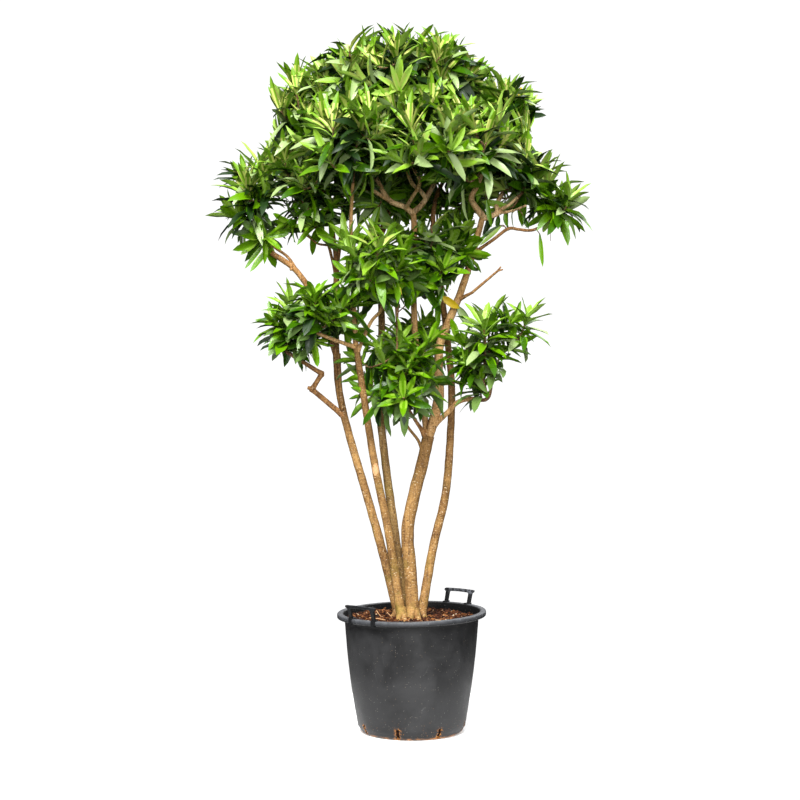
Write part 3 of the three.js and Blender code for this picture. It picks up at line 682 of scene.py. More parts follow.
def node_group(name, inputs, outputs):
    """An empty shader group with its sockets, and its input and output nodes."""
    group = bpy.data.node_groups.new(name, "ShaderNodeTree")
    for label, kind, value in inputs:
        socket = group.interface.new_socket(label, in_out="INPUT", socket_type=f"NodeSocket{kind}")
        socket.default_value = value
    for label, kind in outputs:
        group.interface.new_socket(label, in_out="OUTPUT", socket_type=f"NodeSocket{kind}")
    return group, group.nodes.new("NodeGroupInput").outputs, group.nodes.new("NodeGroupOutput").inputs


def new_material(name, **constants):
    """A material with its principled shader, whose plain values are set on the shader's own sockets."""
    material = bpy.data.materials.new(name)
    material.use_nodes = True
    tree = material.node_tree
    shader = tree.nodes["Principled BSDF"]
    for key, value in constants.items():
        shader.inputs[key.replace("_", " ")].default_value = value
    return material, tree, shader


def bump(tree, shader, height, strength, distance):
    node = add_node(tree, "ShaderNodeBump", {"Height": height, "Strength": strength, "Distance": distance})
    tree.links.new(node.outputs[0], shader.inputs["Normal"])


# Marks on bark: squeeze along the limb, scale, detail and roughness of the noise, its range, strength, colour
BARK_MARKS = (
    ("streaks", 0.1, 95.0, 4.0, 0.6, 0.5, 0.66, 0.65, "#4c3117"),
    ("dashes", 4.5, 60.0, 2.0, 0.5, 0.62, 0.72, 0.75, "#4a3018"),
    ("flecks", 2.0, 120.0, 1.0, 0.5, 0.65, 0.74, 0.65, "#e2cba6"),
    ("pits", 1.0, 170.0, 1.0, 0.5, 0.64, 0.72, 0.85, "#2e1d0f"),
)


# Bark
def ringed_bark_group():
    """Fine rings, blotches, flecks and moss of dracaena bark. The UV gives the metres along a limb."""
    inputs = [("Pale", "Color", colour("#c9a26c")), ("Deep", "Color", colour("#86633d")),
              ("Moss amount", "Float", 0.6)]
    group, given, put = node_group("ringed_bark", inputs, [("Colour", "Color"), ("Height", "Float")])
    where = add_node(group, "ShaderNodeTexCoord").outputs
    place = where["Object"]
    ring_run = weighted(group, (xyz(group, where["UV"])[1], 240.0), (speckled(group, place, 70.0, 2.0), 4.0))
    rings = add_node(group, "ShaderNodeTexNoise", {"W": ring_run, "Scale": 1.0, "Detail": 3.0},
                     noise_dimensions="1D").outputs[0]
    blotches = speckled(group, place, 24.0, 5.0, 0.62)
    grain = speckled(group, stretched(group, place, (1.0, 1.0, 0.35)), 330.0, 3.0, 0.6)
    zones = speckled(group, stretched(group, place, (1.0, 1.0, 0.6)), 7.0, 3.0, 0.55)
    tone = weighted(group, (rings, 0.22), (blotches, 0.45), (grain, 0.5), (zones, 0.4))
    bark = mixed(group, ranged(group, tone, 0.6, 0.92), given["Deep"], given["Pale"])
    marks = {}
    for kind, squeeze, scale, detail, rough, low, high, most, code in BARK_MARKS:
        marks[kind] = speckled(group, stretched(group, place, (1.0, 1.0, squeeze)), scale, detail, rough)
        bark = mixed(group, ranged(group, marks[kind], low, high, 0.0, most), bark, colour(code))
    damp = ranged(group, xyz(group, place)[2], SOIL_TOP + 0.04, SOIL_TOP + 0.75, 1.0, 0.0)
    patches = ranged(group, speckled(group, place, 13.0, 4.0, 0.6), 0.52, 0.66)
    moss = times(group, times(group, damp, patches), given["Moss amount"])
    streaked = ranged(group, marks["streaks"], 0.24, 0.38, times(group, damp, 0.3), 0.0)
    bark = mixed(group, maths(group, "MAXIMUM", moss, streaked), bark, colour("#7d7428"))
    group.links.new(bark, put["Colour"])
    height = plus(group, rings, times(group, grain, 0.6))
    group.links.new(minus(group, height, ranged(group, marks["dashes"], 0.64, 0.74)), put["Height"])
    return group


RINGED_BARK = ringed_bark_group()


def bark_finish(name, pale, deep, moss):
    material, tree, shader = new_material(name, Specular_IOR_Level=0.25)
    given = {"Pale": colour(pale), "Deep": colour(deep), "Moss amount": moss}
    bark = add_node(tree, "ShaderNodeGroup", given, node_tree=RINGED_BARK).outputs
    tree.links.new(bark["Colour"], shader.inputs["Base Color"])
    tree.links.new(ranged(tree, bark["Height"], 0.4, 1.2, 0.86, 0.66), shader.inputs["Roughness"])
    bump(tree, shader, bark["Height"], 0.55, 0.0016)
    return material


def raw_wood_finish(name, pale, deep):
    """Wood laid bare, on cut ends and torn places."""
    material, tree, shader = new_material(name, Specular_IOR_Level=0.2, Roughness=0.85)
    place = own_place(tree)
    fibres = speckled(tree, stretched(tree, place, (1.0, 1.0, 0.3)), 420.0, 4.0, 0.65)
    tree.links.new(mixed(tree, ranged(tree, fibres, 0.36, 0.66), colour(deep), colour(pale)),
                   shader.inputs["Base Color"])
    bump(tree, shader, fibres, 0.5, 0.0012)
    return material


BARK_TAN = bark_finish("bark_tan", "#a47e4a", "#523113", 0.38)
BARK_OLIVE = bark_finish("bark_olive", "#9f7f4c", "#523a1b", 0.5)
BARK_BOUGH = bark_finish("bark_bough", "#c08e58", "#633f1f", 0.0)
# The next two finishes are paler copies of the bough bark for the fork, front arms and upper boughs in the
# crown's shade: painted light.
BARK_MAIN_PAINTED_LIGHT = bark_finish("bark_main_painted_light", "#e2b67a", "#8c5f30", 0.1)
BARK_PALE_PAINTED_LIGHT = bark_finish("bark_pale_painted_light", "#fbd9a4", "#b98850", 0.0)
BARK_TWIG = bark_finish("bark_twig", "#8a6a48", "#4a3524", 0.0)
CUT_WOOD = raw_wood_finish("cut_wood", "#e3c49a", "#b58a5c")
TORN_WOOD = raw_wood_finish("torn_wood", "#d9b083", "#a97c50")
BROKEN_WOOD = raw_wood_finish("broken_wood", "#5d452e", "#2e2117")

# Boughs in the crown's shade that take the paler bark copies above, as painted light.
MAIN_BOUGHS = ("bough_main", "bough_up", "bough_low_right", "bough_left_front", "bough_front_left",
               "bough_mid_front")
PALE_BOUGHS = ("bough_top_left", "bough_top_right", "bough_top_front", "bough_front", "bough_right_front",
               "bough_right_top", "bough_right_low")
ANGULAR_BOUGHS = ("bough_zigzag", "dead_twig")


def elbowed(places):
    """Adds places close to each bend, so that the runs between bends are straight."""
    places = [np.asarray(place, float) for place in places]
    firm = [places[0]]
    for before, at, after in zip(places, places[1:], places[2:]):
        firm += [at + unit(before - at) * ELBOW_REACH, at, at + unit(after - at) * ELBOW_REACH]
    return [tuple(place) for place in firm + [places[-1]]]


limbs = {}
for name, (foot, girth, places) in STEMS.items():
    places = [(*foot, SOIL_TOP + GAP), *places]
    limbs[name] = dict(places=places, path=smooth_path(places), girth=girth, carrier_radius=None)
for name, (carrier, share, girth, places) in BOUGHS.items():
    places = [tuple(along(limbs[carrier]["path"], share)), *places]
    thick, thin = limbs[carrier]["girth"]
    path = smooth_path(elbowed(places) if name in ANGULAR_BOUGHS else places)
    limbs[name] = dict(places=places, path=path, girth=girth, carrier_radius=thick + (thin - thick) * share)


def limb_radius(limb, run):
    """The plain radius along a limb, with its flare or collar, and a knuckle at each sharp bend."""
    thick, thin = limb["girth"]
    radius = thick + (thin - thick) * np.clip(run / run[-1], 0, 1)
    carrier = limb["carrier_radius"]
    if carrier is None:
        radius = radius + FLARE * np.exp(-np.maximum(run - FOOT_SUNK, 0) / FLARE_REACH)
    else:
        past = np.maximum(run - carrier, 0)
        radius = radius + COLLAR_SHARE * max(0.0, carrier - thick) * np.exp(-past / COLLAR_REACH)
    places = np.asarray(limb["places"])
    for before, at, after in zip(places, places[1:], places[2:]):
        bend = 1 - unit(at - before).dot(unit(after - at))
        if bend > SHARP_BEND:
            nearest = run[np.argmin(np.linalg.norm(limb["rings"] - at, axis=1))]
            swell = KNUCKLE_SHARE * min(1.0, bend * BEND_SWELL)
            radius = radius * (1 + swell * np.exp(-(((run - nearest) / KNUCKLE_REACH) ** 2)))
    return radius


def bark_radii(radius, run, sides, seed, lobes=0.0):
    """Rings by sides of radius, with the lumps and leaf scars of bark."""
    turn = FULL_TURN * np.arange(sides) / sides
    radii = np.empty((len(run), sides))
    for i, at in enumerate(run):
        drift = noise.noise((at * DRIFT_ALONG, seed, 0.5))
        phase = (at / SCAR_SPACING + SCAR_DRIFT * drift) % 1.0
        scar = SCAR_HEIGHT * math.exp(-((phase - 0.5) ** 2) / SCAR_SPREAD)
        foot = lobes * math.exp(-at / FLARE_REACH)
        for j, angle in enumerate(turn):
            around = (math.cos(angle) * LUMP_ROUND, math.sin(angle) * LUMP_ROUND, at * LUMP_ALONG + seed)
            lump = LUMP_SHARE * noise.noise(around) + foot * math.sin(FOOT_LOBE_COUNT * angle + seed)
            uneven = SCAR_LEAST + SCAR_UNEVEN * noise.noise((angle, at * SCAR_ALONG, seed))
            radii[i, j] = radius[i] * (1 + lump) + scar * uneven
    return radii


def ring_count(path, step):
    return max(4, round(run_along(path)[-1] / step))


def strand(path, thick, thin, count, sides, seed, cap_finish=None):
    """A tapering strand of wood along a path, as the parts of a tube."""
    path = along(path, np.linspace(0, 1, count))
    run = run_along(path)
    radius = thick + (thin - thick) * run / run[-1]
    return tube(path, bark_radii(radius, run, sides, seed), 0, cap_finish)


def stub(places, thick, thin, seed, cap_finish):
    path = smooth_path(places)
    return strand(path, thick, thin, ring_count(path, RING_STEP), BOUGH_SIDES, seed, cap_finish)


def over_mix(places):
    """Places whose heights are given over the plain top of the mix."""
    return [(x, y, SOIL_TOP + rise) for x, y, rise in places]


# The finishes of a limb, by their order on its mesh
BARK, CUT, BROKEN, TORN = range(4)

# Stubs, prongs and strands: limb that carries it, radius at both ends, finish of its end, places
STRAY_WOOD = (
    ("stem_left", 0.008, 0.0068, BROKEN, (
        (-0.258, 0.026, 1.185), (-0.266, 0.0285, 1.29), (-0.2705, 0.031, 1.396))),
    ("stem_knee", 0.0062, 0.0042, BROKEN, (
        (0.038, -0.014, 1.038), (0.023, -0.035, 1.076), (-0.014, -0.05, 1.124), (-0.034, -0.064, 1.168),
        (-0.06, -0.08, 1.21))),
    ("bough_main", 0.0095, 0.006, BROKEN, (
        (0.062, -0.02, 1.092), (0.078, -0.027, 1.175), (0.091, -0.026, 1.25), (0.098, -0.018, 1.32))),
    ("bough_low_right", 0.0088, 0.0082, CUT, (
        (0.212, -0.083, 1.226), (0.226, -0.089, 1.226), (0.2365, -0.092, 1.217))),
    ("bough_top_left", 0.0082, 0.0068, CUT, (
        (-0.078, 0.012, 1.96), (-0.11, 0.006, 1.978), (-0.143, -0.002, 1.998))),
    ("bough_right_top", 0.0062, 0.0036, CUT, (
        (0.312, -0.018, 1.912), (0.368, -0.028, 1.919), (0.422, -0.036, 1.939))),
    ("bough_zigzag", 0.0095, 0.006, CUT, (
        (-0.362, 0.0, 1.262), (-0.376, -0.001, 1.2665), (-0.385, -0.002, 1.269))),
    ("bough_far_left", 0.0062, 0.005, CUT, ((-0.437, -0.014, 1.712), (-0.447, -0.02, 1.702))),
    ("bough_left_inner", 0.0045, 0.003, BROKEN, (
        (-0.309, 0.018, 1.797), (-0.346, 0.0, 1.801), (-0.372, -0.01, 1.819), (-0.401, -0.015, 1.843),
        (-0.396, -0.018, 1.862))),
    ("dead_twig", 0.0038, 0.0028, BROKEN, ((0.312, -0.068, 1.693), (0.326, -0.074, 1.71))),
    ("dead_twig", 0.0036, 0.0026, BROKEN, ((0.314, -0.069, 1.695), (0.334, -0.07, 1.7))),
)
CUT_ENDS = ("bough_far_left",)

# Roots that spread into the mix: stem, radius at both ends, places with heights over the mix
ROOTS = (
    ("stem_knee", 0.021, 0.009, ((0.0, -0.012, 0.046), (-0.004, -0.042, 0.017), (-0.008, -0.078, -0.008))),
    ("stem_knee", 0.018, 0.008, ((0.012, -0.01, 0.042), (0.022, -0.038, 0.015), (0.03, -0.068, -0.008))),
    ("stem_front", 0.016, 0.007, (
        (-0.038, -0.022, 0.042), (-0.046, -0.048, 0.015), (-0.056, -0.08, -0.008))),
    ("stem_front", 0.017, 0.007, (
        (-0.036, -0.02, 0.042), (-0.028, -0.052, 0.016), (-0.026, -0.084, -0.008))),
    ("stem_right", 0.013, 0.006, ((0.036, 0.004, 0.036), (0.048, -0.016, 0.013), (0.06, -0.038, -0.008))),
    ("stem_left", 0.013, 0.006, ((-0.05, 0.022, 0.036), (-0.068, 0.008, 0.013), (-0.09, -0.01, -0.008))),
    ("stem_back", 0.014, 0.006, ((-0.018, 0.04, 0.036), (-0.014, 0.066, 0.013), (-0.008, 0.095, -0.008))),
)
OLIVE_STEMS = ("stem_back",)
TORN_STEM = "stem_front"
SCAR_PLACE = np.array((-0.133, -0.05, 0.968))
SCAR_HALF = np.array((0.011, 0.04, 0.024))
RAGGED_SHARE = 0.5
RAGGED_STEP = 0.37


def bark_of(name):
    if name in STEMS:
        return BARK_OLIVE if name in OLIVE_STEMS else BARK_TAN
    if name in MAIN_BOUGHS:
        return BARK_MAIN_PAINTED_LIGHT
    return BARK_PALE_PAINTED_LIGHT if name in PALE_BOUGHS else BARK_BOUGH


def limb_piece(order, name, limb):
    stem = name in STEMS
    path = limb["path"]
    if stem:
        path = np.vstack([path[0] - unit(path[1] - path[0]) * FOOT_SUNK, path])
    rings = along(path, np.linspace(0, 1, ring_count(path, RING_STEP)))
    run = run_along(rings)
    limb["rings"] = rings
    limb["radius"] = limb_radius(limb, run)
    seed = LIMB_SEED_STEP * order
    sides = STEM_SIDES if stem else BOUGH_SIDES
    radii = bark_radii(limb["radius"], run, sides, seed, FOOT_LOBES if stem else 0.0)
    whole = Joined()
    whole.add(*tube(rings, radii, BARK, CUT if name in CUT_ENDS else None))
    for k, (carrier, thick, thin, end, places) in enumerate(STRAY_WOOD):
        if carrier == name:
            whole.add(*stub(places, thick, thin, seed + k + STRAY_SEED, end))
    for k, (carrier, thick, thin, places) in enumerate(ROOTS):
        if carrier == name:
            whole.add(*stub(over_mix(places), thick, thin, seed + k + ROOT_SEED, BARK))
    if name == TORN_STEM:
        points = np.asarray(whole.points)
        for i, face in enumerate(whole.faces):
            off = (points[list(face)].mean(axis=0) - SCAR_PLACE) / SCAR_HALF
            ragged = 1 + RAGGED_SHARE * noise.noise((i * RAGGED_STEP, 2.0, 1.0))
            if np.linalg.norm(off) < ragged:
                whole.finish[i] = TORN
    finishes = [bark_of(name), CUT_WOOD, BROKEN_WOOD, TORN_WOOD]
    joined_piece(f"{name}_bark", whole, finishes, "bark", name)


for order, (name, limb) in enumerate(limbs.items()):
    limb_piece(order, name, limb)

# Where limbs are, so that twigs and leaves stay clear of them
limb_names = []
limb_reach = []
limb_tree = kdtree.KDTree(sum(len(limb["rings"]) for limb in limbs.values()))
for name, limb in limbs.items():
    for point, radius in zip(limb["rings"], limb["radius"]):
        limb_tree.insert(Vector(point), len(limb_names))
        limb_names.append(name)
        limb_reach.append(radius)
limb_tree.balance()


def meets_limb(point, room, own=None):
    for _, index, distance in limb_tree.find_n(Vector(point), 3):
        if limb_names[index] != own and distance < limb_reach[index] + room:
            return True
    return False


# Shoots
masses = []
for index, (name, (bough, centre, reach, shoots)) in enumerate(MASSES.items()):
    reach = np.array(reach)
    masses.append(dict(name=name, index=index, bough=bough, centre=np.array(centre), reach=reach,
                       size=reach.mean(), shoots=shoots))


def inside_space(mass, point, margin):
    """True if a point is in a mass's egg-shaped reach and on its own side of each neighbour."""
    offset = point - mass["centre"]
    if np.linalg.norm(offset / mass["reach"]) > 1 - margin / mass["size"]:
        return False
    for other in masses:
        if other is mass:
            continue
        toward = other["centre"] - mass["centre"]
        apart = np.linalg.norm(toward)
        if offset.dot(toward) / apart >= apart * mass["size"] / (mass["size"] + other["size"]) - margin:
            return False
    return True


def shoot_tips(mass, hub):
    """The tips of a mass's shoots, spread round the line from its bough's tip to its centre."""
    draw = seeded(SHOOT_SEED + mass["index"] * SEED_STEP)
    axis = unit(mass["centre"] - hub)
    side = unit(side_of(axis, TIP_STEEP))
    other = np.cross(axis, side)
    spread = 1 - math.cos(math.radians(SPREAD_DEG))
    tips = []
    for i in range(mass["shoots"]):
        polar = math.acos(1 - spread * (i + 0.5) / mass["shoots"])
        turn = i * GOLDEN_TURN + draw() * TURN_SCATTER
        outward = axis * math.cos(polar)
        outward = outward + side * (math.sin(polar) * math.cos(turn))
        outward = outward + other * (math.sin(polar) * math.sin(turn))
        apex = mass["centre"] + (mass["reach"] - LEAF_PAST_APEX) * outward
        for _ in range(PULL_TRIES):
            if inside_space(mass, apex, APEX_MARGIN):
                break
            apex = apex + (mass["centre"] - apex) * PULL_IN
        tips.append((apex, unit(OUTWARD_AIM * outward + UPWARD_AIM * UP)))
    return tips


def middle_of(tips):
    return np.mean([apex for apex, _ in tips], axis=0)


def fork(twig, start, tips, radius, twigs):
    """Twigs fork toward groups of tips, split in half across their widest spread."""
    if len(tips) == 1:
        apex, heading = tips[0]
        twig["places"].append(apex - heading * SHOOT_BEND * np.linalg.norm(start - apex))
        twig["places"].append(apex)
        return
    apexes = np.array([apex for apex, _ in tips])
    widest = int(np.argmax(apexes.max(axis=0) - apexes.min(axis=0)))
    ordered = sorted(tips, key=lambda tip: tip[0][widest])
    half = len(ordered) // 2
    thinner = max(radius * TWIG_TAPER, TWIG_LEAST)
    side = dict(places=[start], radius=thinner)
    twigs.append(side)
    for branch, group in ((twig, ordered[half:]), (side, ordered[:half])):
        from_here = start
        if len(group) > 1:
            from_here = start + (middle_of(group) - start) * FORK_SHARE
            branch["places"].append(from_here)
        fork(branch, from_here, group, thinner, twigs)


def main_twigs(mass):
    path = limbs[mass["bough"]]["path"]
    heading = unit(path[-1] - path[-2])
    hub = path[-1] + heading * GAP
    tips = shoot_tips(mass, hub)
    first = hub + heading * max(FIRST_RUN, FIRST_SHARE * np.linalg.norm(hub - middle_of(tips)))
    stem = dict(places=[hub, first], radius=limbs[mass["bough"]]["girth"][1])
    twigs = [stem]
    fork(stem, first, tips, stem["radius"], twigs)
    for twig in twigs:
        twig["path"] = smooth_path(twig["places"], TWIG_CURVE_STEPS)
    clear = []
    for twig in twigs:
        spine = along(twig["path"], TWIG_LOOK)
        if not any(meets_limb(point, twig["radius"], mass["bough"]) for point in spine):
            clear.append(twig)
    return clear


# Shoots at places of their own, as the places of their tips by the mass that carries them
CLOSING_TIPS = {
    "foliage_far_left": (
        (-0.55, 0.0, 2.04), (-0.535, -0.06, 1.97), (-0.555, -0.02, 2.1), (-0.5, -0.03, 2.07),
        (-0.54, -0.05, 1.82)),
    "foliage_top_left": ((-0.2, 0.06, 2.42), (-0.17, -0.03, 2.475)),
    "foliage_top_right": (
        (0.06, -0.04, 2.45), (0.125, 0.0, 2.44), (0.19, -0.06, 2.38), (-0.01, -0.03, 2.47)),
    "foliage_left_top": ((-0.46, 0.0, 2.31), (-0.33, -0.07, 2.34)),
    "foliage_right_top": ((0.33, 0.0, 2.32), (0.4, 0.0, 2.28)),
    "foliage_right_low": ((0.31, 0.02, 1.98), (0.34, -0.08, 1.99), (0.36, -0.02, 1.93)),
    "foliage_far_right": ((0.5, -0.02, 2.02),),
    "foliage_mid_right": (
        (-0.045, -0.06, 1.84), (0.13, -0.06, 1.62), (0.04, -0.1, 1.65), (0.18, 0.02, 1.81),
        (0.19, -0.04, 1.76), (0.06, 0.06, 1.79)),
    "foliage_left_front": (
        (-0.255, -0.17, 1.545), (-0.2, -0.15, 1.57), (-0.36, -0.1, 1.44), (-0.235, -0.03, 1.475)),
    "foliage_low_mid": (
        (-0.19, -0.02, 1.37), (0.068, -0.07, 1.322), (0.02, -0.15, 1.38), (-0.17, -0.01, 1.3),
        (-0.15, -0.03, 1.24), (-0.12, -0.07, 1.42), (-0.04, -0.13, 1.43), (0.06, -0.12, 1.43)),
    "foliage_low_back": ((0.04, 0.17, 1.5), (0.09, 0.18, 1.47)),
    "foliage_low_right": ((0.36, -0.1, 1.5), (0.2, -0.13, 1.35), (0.25, -0.11, 1.27), (0.42, -0.1, 1.52)),
    "foliage_low_left": ((-0.5, -0.03, 1.5),),
    "foliage_mid_front": (
        (-0.09, -0.16, 1.81), (-0.03, -0.17, 1.75), (-0.15, -0.17, 1.67), (-0.02, -0.13, 1.65),
        (-0.08, -0.13, 1.66), (-0.12, -0.17, 1.61)),
    "foliage_inner": ((-0.125, 0.0, 1.94), (-0.2, 0.05, 1.99)),
    "foliage_right_back": ((0.12, 0.18, 1.98), (0.18, 0.2, 1.95), (0.23, 0.17, 2.0), (0.07, 0.19, 1.94)),
    "foliage_back": ((-0.01, 0.2, 1.97), (-0.06, 0.21, 1.94), (0.03, 0.22, 2.02)),
    "foliage_left_inner": (
        (-0.31, -0.06, 2.05), (-0.3, -0.04, 1.93), (-0.45, -0.05, 1.87), (-0.36, -0.05, 1.86)),
}


def shares_of_reach(places):
    """How far each place is from the centre of each mass, as a share of that mass's reach."""
    centres = np.array([mass["centre"] for mass in masses])
    reaches = np.array([mass["reach"] for mass in masses])
    return np.linalg.norm((np.asarray(places)[..., None, :] - centres) / reaches, axis=-1)


def crown_gaps():
    """Places at the outside of the upper crown between two masses, listed by the nearest mass."""
    draw = seeded(FILL_SEED)
    upper = [mass["index"] for mass in masses if mass["centre"][2] > UPPER_CROWN]
    low = np.min([masses[i]["centre"] - masses[i]["reach"] for i in upper], axis=0)
    high = np.max([masses[i]["centre"] + masses[i]["reach"] for i in upper], axis=0)
    heart = (low + high) / 2 - UP * HEART_DROP
    found = {mass["name"]: [] for mass in masses}
    for x in np.arange(low[0], high[0], FILL_STEP):
        for y in np.arange(low[1], high[1], FILL_STEP):
            for z in np.arange(UPPER_CROWN + FILL_FOOT, high[2], FILL_STEP):
                place = np.array((x, y, z)) + FILL_STEP * (np.array((draw(), draw(), draw())) - 0.5)
                shares = shares_of_reach(place)[upper]
                first, second = np.argsort(shares)[:2]
                if not FILL_CORE < shares[first] < FILL_FAR or shares[second] > FILL_NEAR:
                    continue
                outside = place + unit(place - heart) * FILL_LOOK[:, None]
                if shares_of_reach(outside).min() > FILL_CORE:
                    found[masses[upper[first]]["name"]].append(place)
    return found


CROWN_GAPS = crown_gaps()


def closing_twigs(mass, shoots, tips):
    """Thin shoots from the nearest twig of a mass to the tips that close the crown."""
    found = []
    spots = np.vstack([along(shoot["path"], CLOSING_STARTS) for shoot in shoots])
    placed = CLOSING_TIPS.get(mass["name"], ())
    for order, tip in enumerate((*placed, *CROWN_GAPS[mass["name"]])):
        tip = np.array(tip)
        if min(np.linalg.norm(tip - other) for other in tips) < CLOSING_SPACING:
            continue
        if meets_limb(tip, CLOSING_ROOM):
            continue
        gaps = np.linalg.norm(spots - tip, axis=1)
        start = spots[np.argmin(np.maximum(gaps, CLOSING_RUN))]
        bent = start + SIDE_BENT_AT * (tip - start) - UP * CLOSING_SAG * np.linalg.norm(tip - start)
        tips.append(tip)
        reach = PLACED_PAST_REACH if order < len(placed) else LEAF_PAST_REACH
        path = smooth_path([start, bent, tip], SIDE_CURVE_STEPS)
        found.append(dict(path=path, radius=SIDE_RADIUS, leaf_reach=reach))
    return found


def side_twigs(mass, twig, tips, draw):
    """Finer twigs off a shoot, inside the mass's reach and apart from the other tips."""
    length = run_along(twig["path"])[-1]
    found = []
    turn = FULL_TURN * draw()
    for k in range(SIDE_TRIES):
        back = SIDE_FIRST + SIDE_STEP * k
        if back > SIDE_LAST * length:
            break
        share = 1 - back / length
        start, ahead = along(twig["path"], (share, min(1.0, share + SIDE_LOOK)))
        axis = unit(ahead - start)
        normal, binormal = square_to(axis)
        turn += GOLDEN_TURN
        sideways = normal * math.cos(turn) + binormal * math.sin(turn)
        aim = unit(SIDE_AHEAD * axis + SIDE_OUT * sideways + SIDE_UP * UP)
        reach = SIDE_LENGTH * (SIDE_SHORTEST + SIDE_SCATTER * draw())
        reach = reach * (SIDE_FIRST_SHARE + SIDE_GROWTH * k)
        tip = start + aim * reach
        if np.linalg.norm((tip - mass["centre"]) / mass["reach"]) > 1 - SIDE_MARGIN / mass["size"]:
            continue
        if min(np.linalg.norm(tip - other) for other in tips) < TIP_SPACING:
            continue
        if meets_limb(tip, SIDE_ROOM):
            continue
        tips.append(tip)
        bent = start + aim * reach * SIDE_BENT_AT - UP * TIP_LIFT
        found.append(dict(path=smooth_path([start, bent, tip], SIDE_CURVE_STEPS), radius=SIDE_RADIUS))
    return found


# Leaves
def leaf_gloss_group():
    """The long veins of a strap leaf and the uneven gloss of its skin. The UV runs across and along it."""
    group, given, put = node_group("leaf_gloss", [("Dull", "Float", 0.45)],
                                   [("Roughness", "Float"), ("Height", "Float")])
    where = add_node(group, "ShaderNodeTexCoord").outputs
    across = xyz(group, where["UV"])[0]
    veins = maths(group, "SINE", times(group, across, FULL_TURN * 11))
    rib = ranged(group, maths(group, "ABSOLUTE", minus(group, across, 0.5)), 0.0, 0.06, 1.0, 0.0)
    patchy = speckled(group, where["Object"], 55.0, 3.0, 0.6)
    group.links.new(plus(group, given["Dull"], ranged(group, patchy, 0.3, 0.7, -0.12, 0.12)),
                    put["Roughness"])
    group.links.new(minus(group, times(group, veins, 0.25), rib), put["Height"])
    return group


LEAF_GLOSS = leaf_gloss_group()
# Two pale grey-green colours paint the sheen of the sky on glossy leaves, the darker one for shoots in shade:
# painted sheen.
LEAF_COLOURS = {
    "lime_edge": ("#b4bc60", 0.42), "young_stripe": ("#6a9518", 0.36), "pale_edge": ("#a0b055", 0.36),
    "bright": ("#92b64a", 0.31), "fresh": ("#7da42c", 0.29), "mid": ("#5a8806", 0.28),
    "deep": ("#305702", 0.3), "dark": ("#132e02", 0.46), "waxy": ("#90a66a", 0.27),
    "waxy_deep": ("#5a7538", 0.27), "yellowed": ("#d3b21e", 0.5),
}
LEAF_KINDS = list(LEAF_COLOURS)


def leaf_finish(name, code, dull):
    material, tree, shader = new_material(f"leaf_{name}", Base_Color=colour(code), Specular_IOR_Level=0.38)
    gloss = add_node(tree, "ShaderNodeGroup", {"Dull": dull}, node_tree=LEAF_GLOSS).outputs
    tree.links.new(gloss["Roughness"], shader.inputs["Roughness"])
    bump(tree, shader, gloss["Height"], 0.35, 0.0008)
    return material


LEAF_FINISHES = [leaf_finish(name, code, dull) for name, (code, dull) in LEAF_COLOURS.items()]


def leaf_tones(age, light, draw):
    """The finishes of a leaf's margin and middle by its age and the light that its shoot stands in. Greens
    grow paler with more light and darker with less, and old leaves under the lit crown go dark: partly the
    leaves' own sun and shade colours, partly painted light and shade.
    """
    if age < YOUNG_AGE:
        if light > FULL_LIGHT:
            return "lime_edge", "young_stripe"
        if light > HALF_LIGHT:
            return "pale_edge", "bright"
        return ("bright", "fresh") if light > DIM_LIGHT else ("fresh", "mid")
    if age > YELLOW_AGE and draw() < YELLOW_SHARE:
        return "yellowed", "yellowed"
    # Some older leaves take a painted sheen colour, more of them in the shade.
    if draw() < PAINTED_SHEEN_SHARE * (PAINTED_SHEEN_MOST - PAINTED_SHEEN_FALL * light):
        return ("waxy", "waxy") if light > DIM_LIGHT else ("waxy_deep", "waxy_deep")
    if age < MIDDLE_AGE:
        if light > OPEN_LIGHT:
            return ("pale_edge", "bright") if draw() < 0.5 else ("bright", "bright")
        if light > HALF_LIGHT:
            return "bright", "fresh"
        return ("fresh", "mid") if light > SHADE_LIGHT else ("mid", "deep")
    if light > FAIR_LIGHT:
        if age > DARK_AGE:
            return "dark", "dark"
        if draw() < PALER_SHARE:
            return "mid", "deep"
        return ("deep", "deep") if draw() < 0.5 else ("deep", "dark")
    if light > DEEP_SHADE:
        return ("mid", "deep") if draw() < 0.5 else ("mid", "mid")
    return ("deep", "deep") if draw() < 0.5 else ("deep", "dark")


def scattered(draw, span):
    """A random number from either side of 0, span wide in all."""
    return span * (draw() - 0.5)


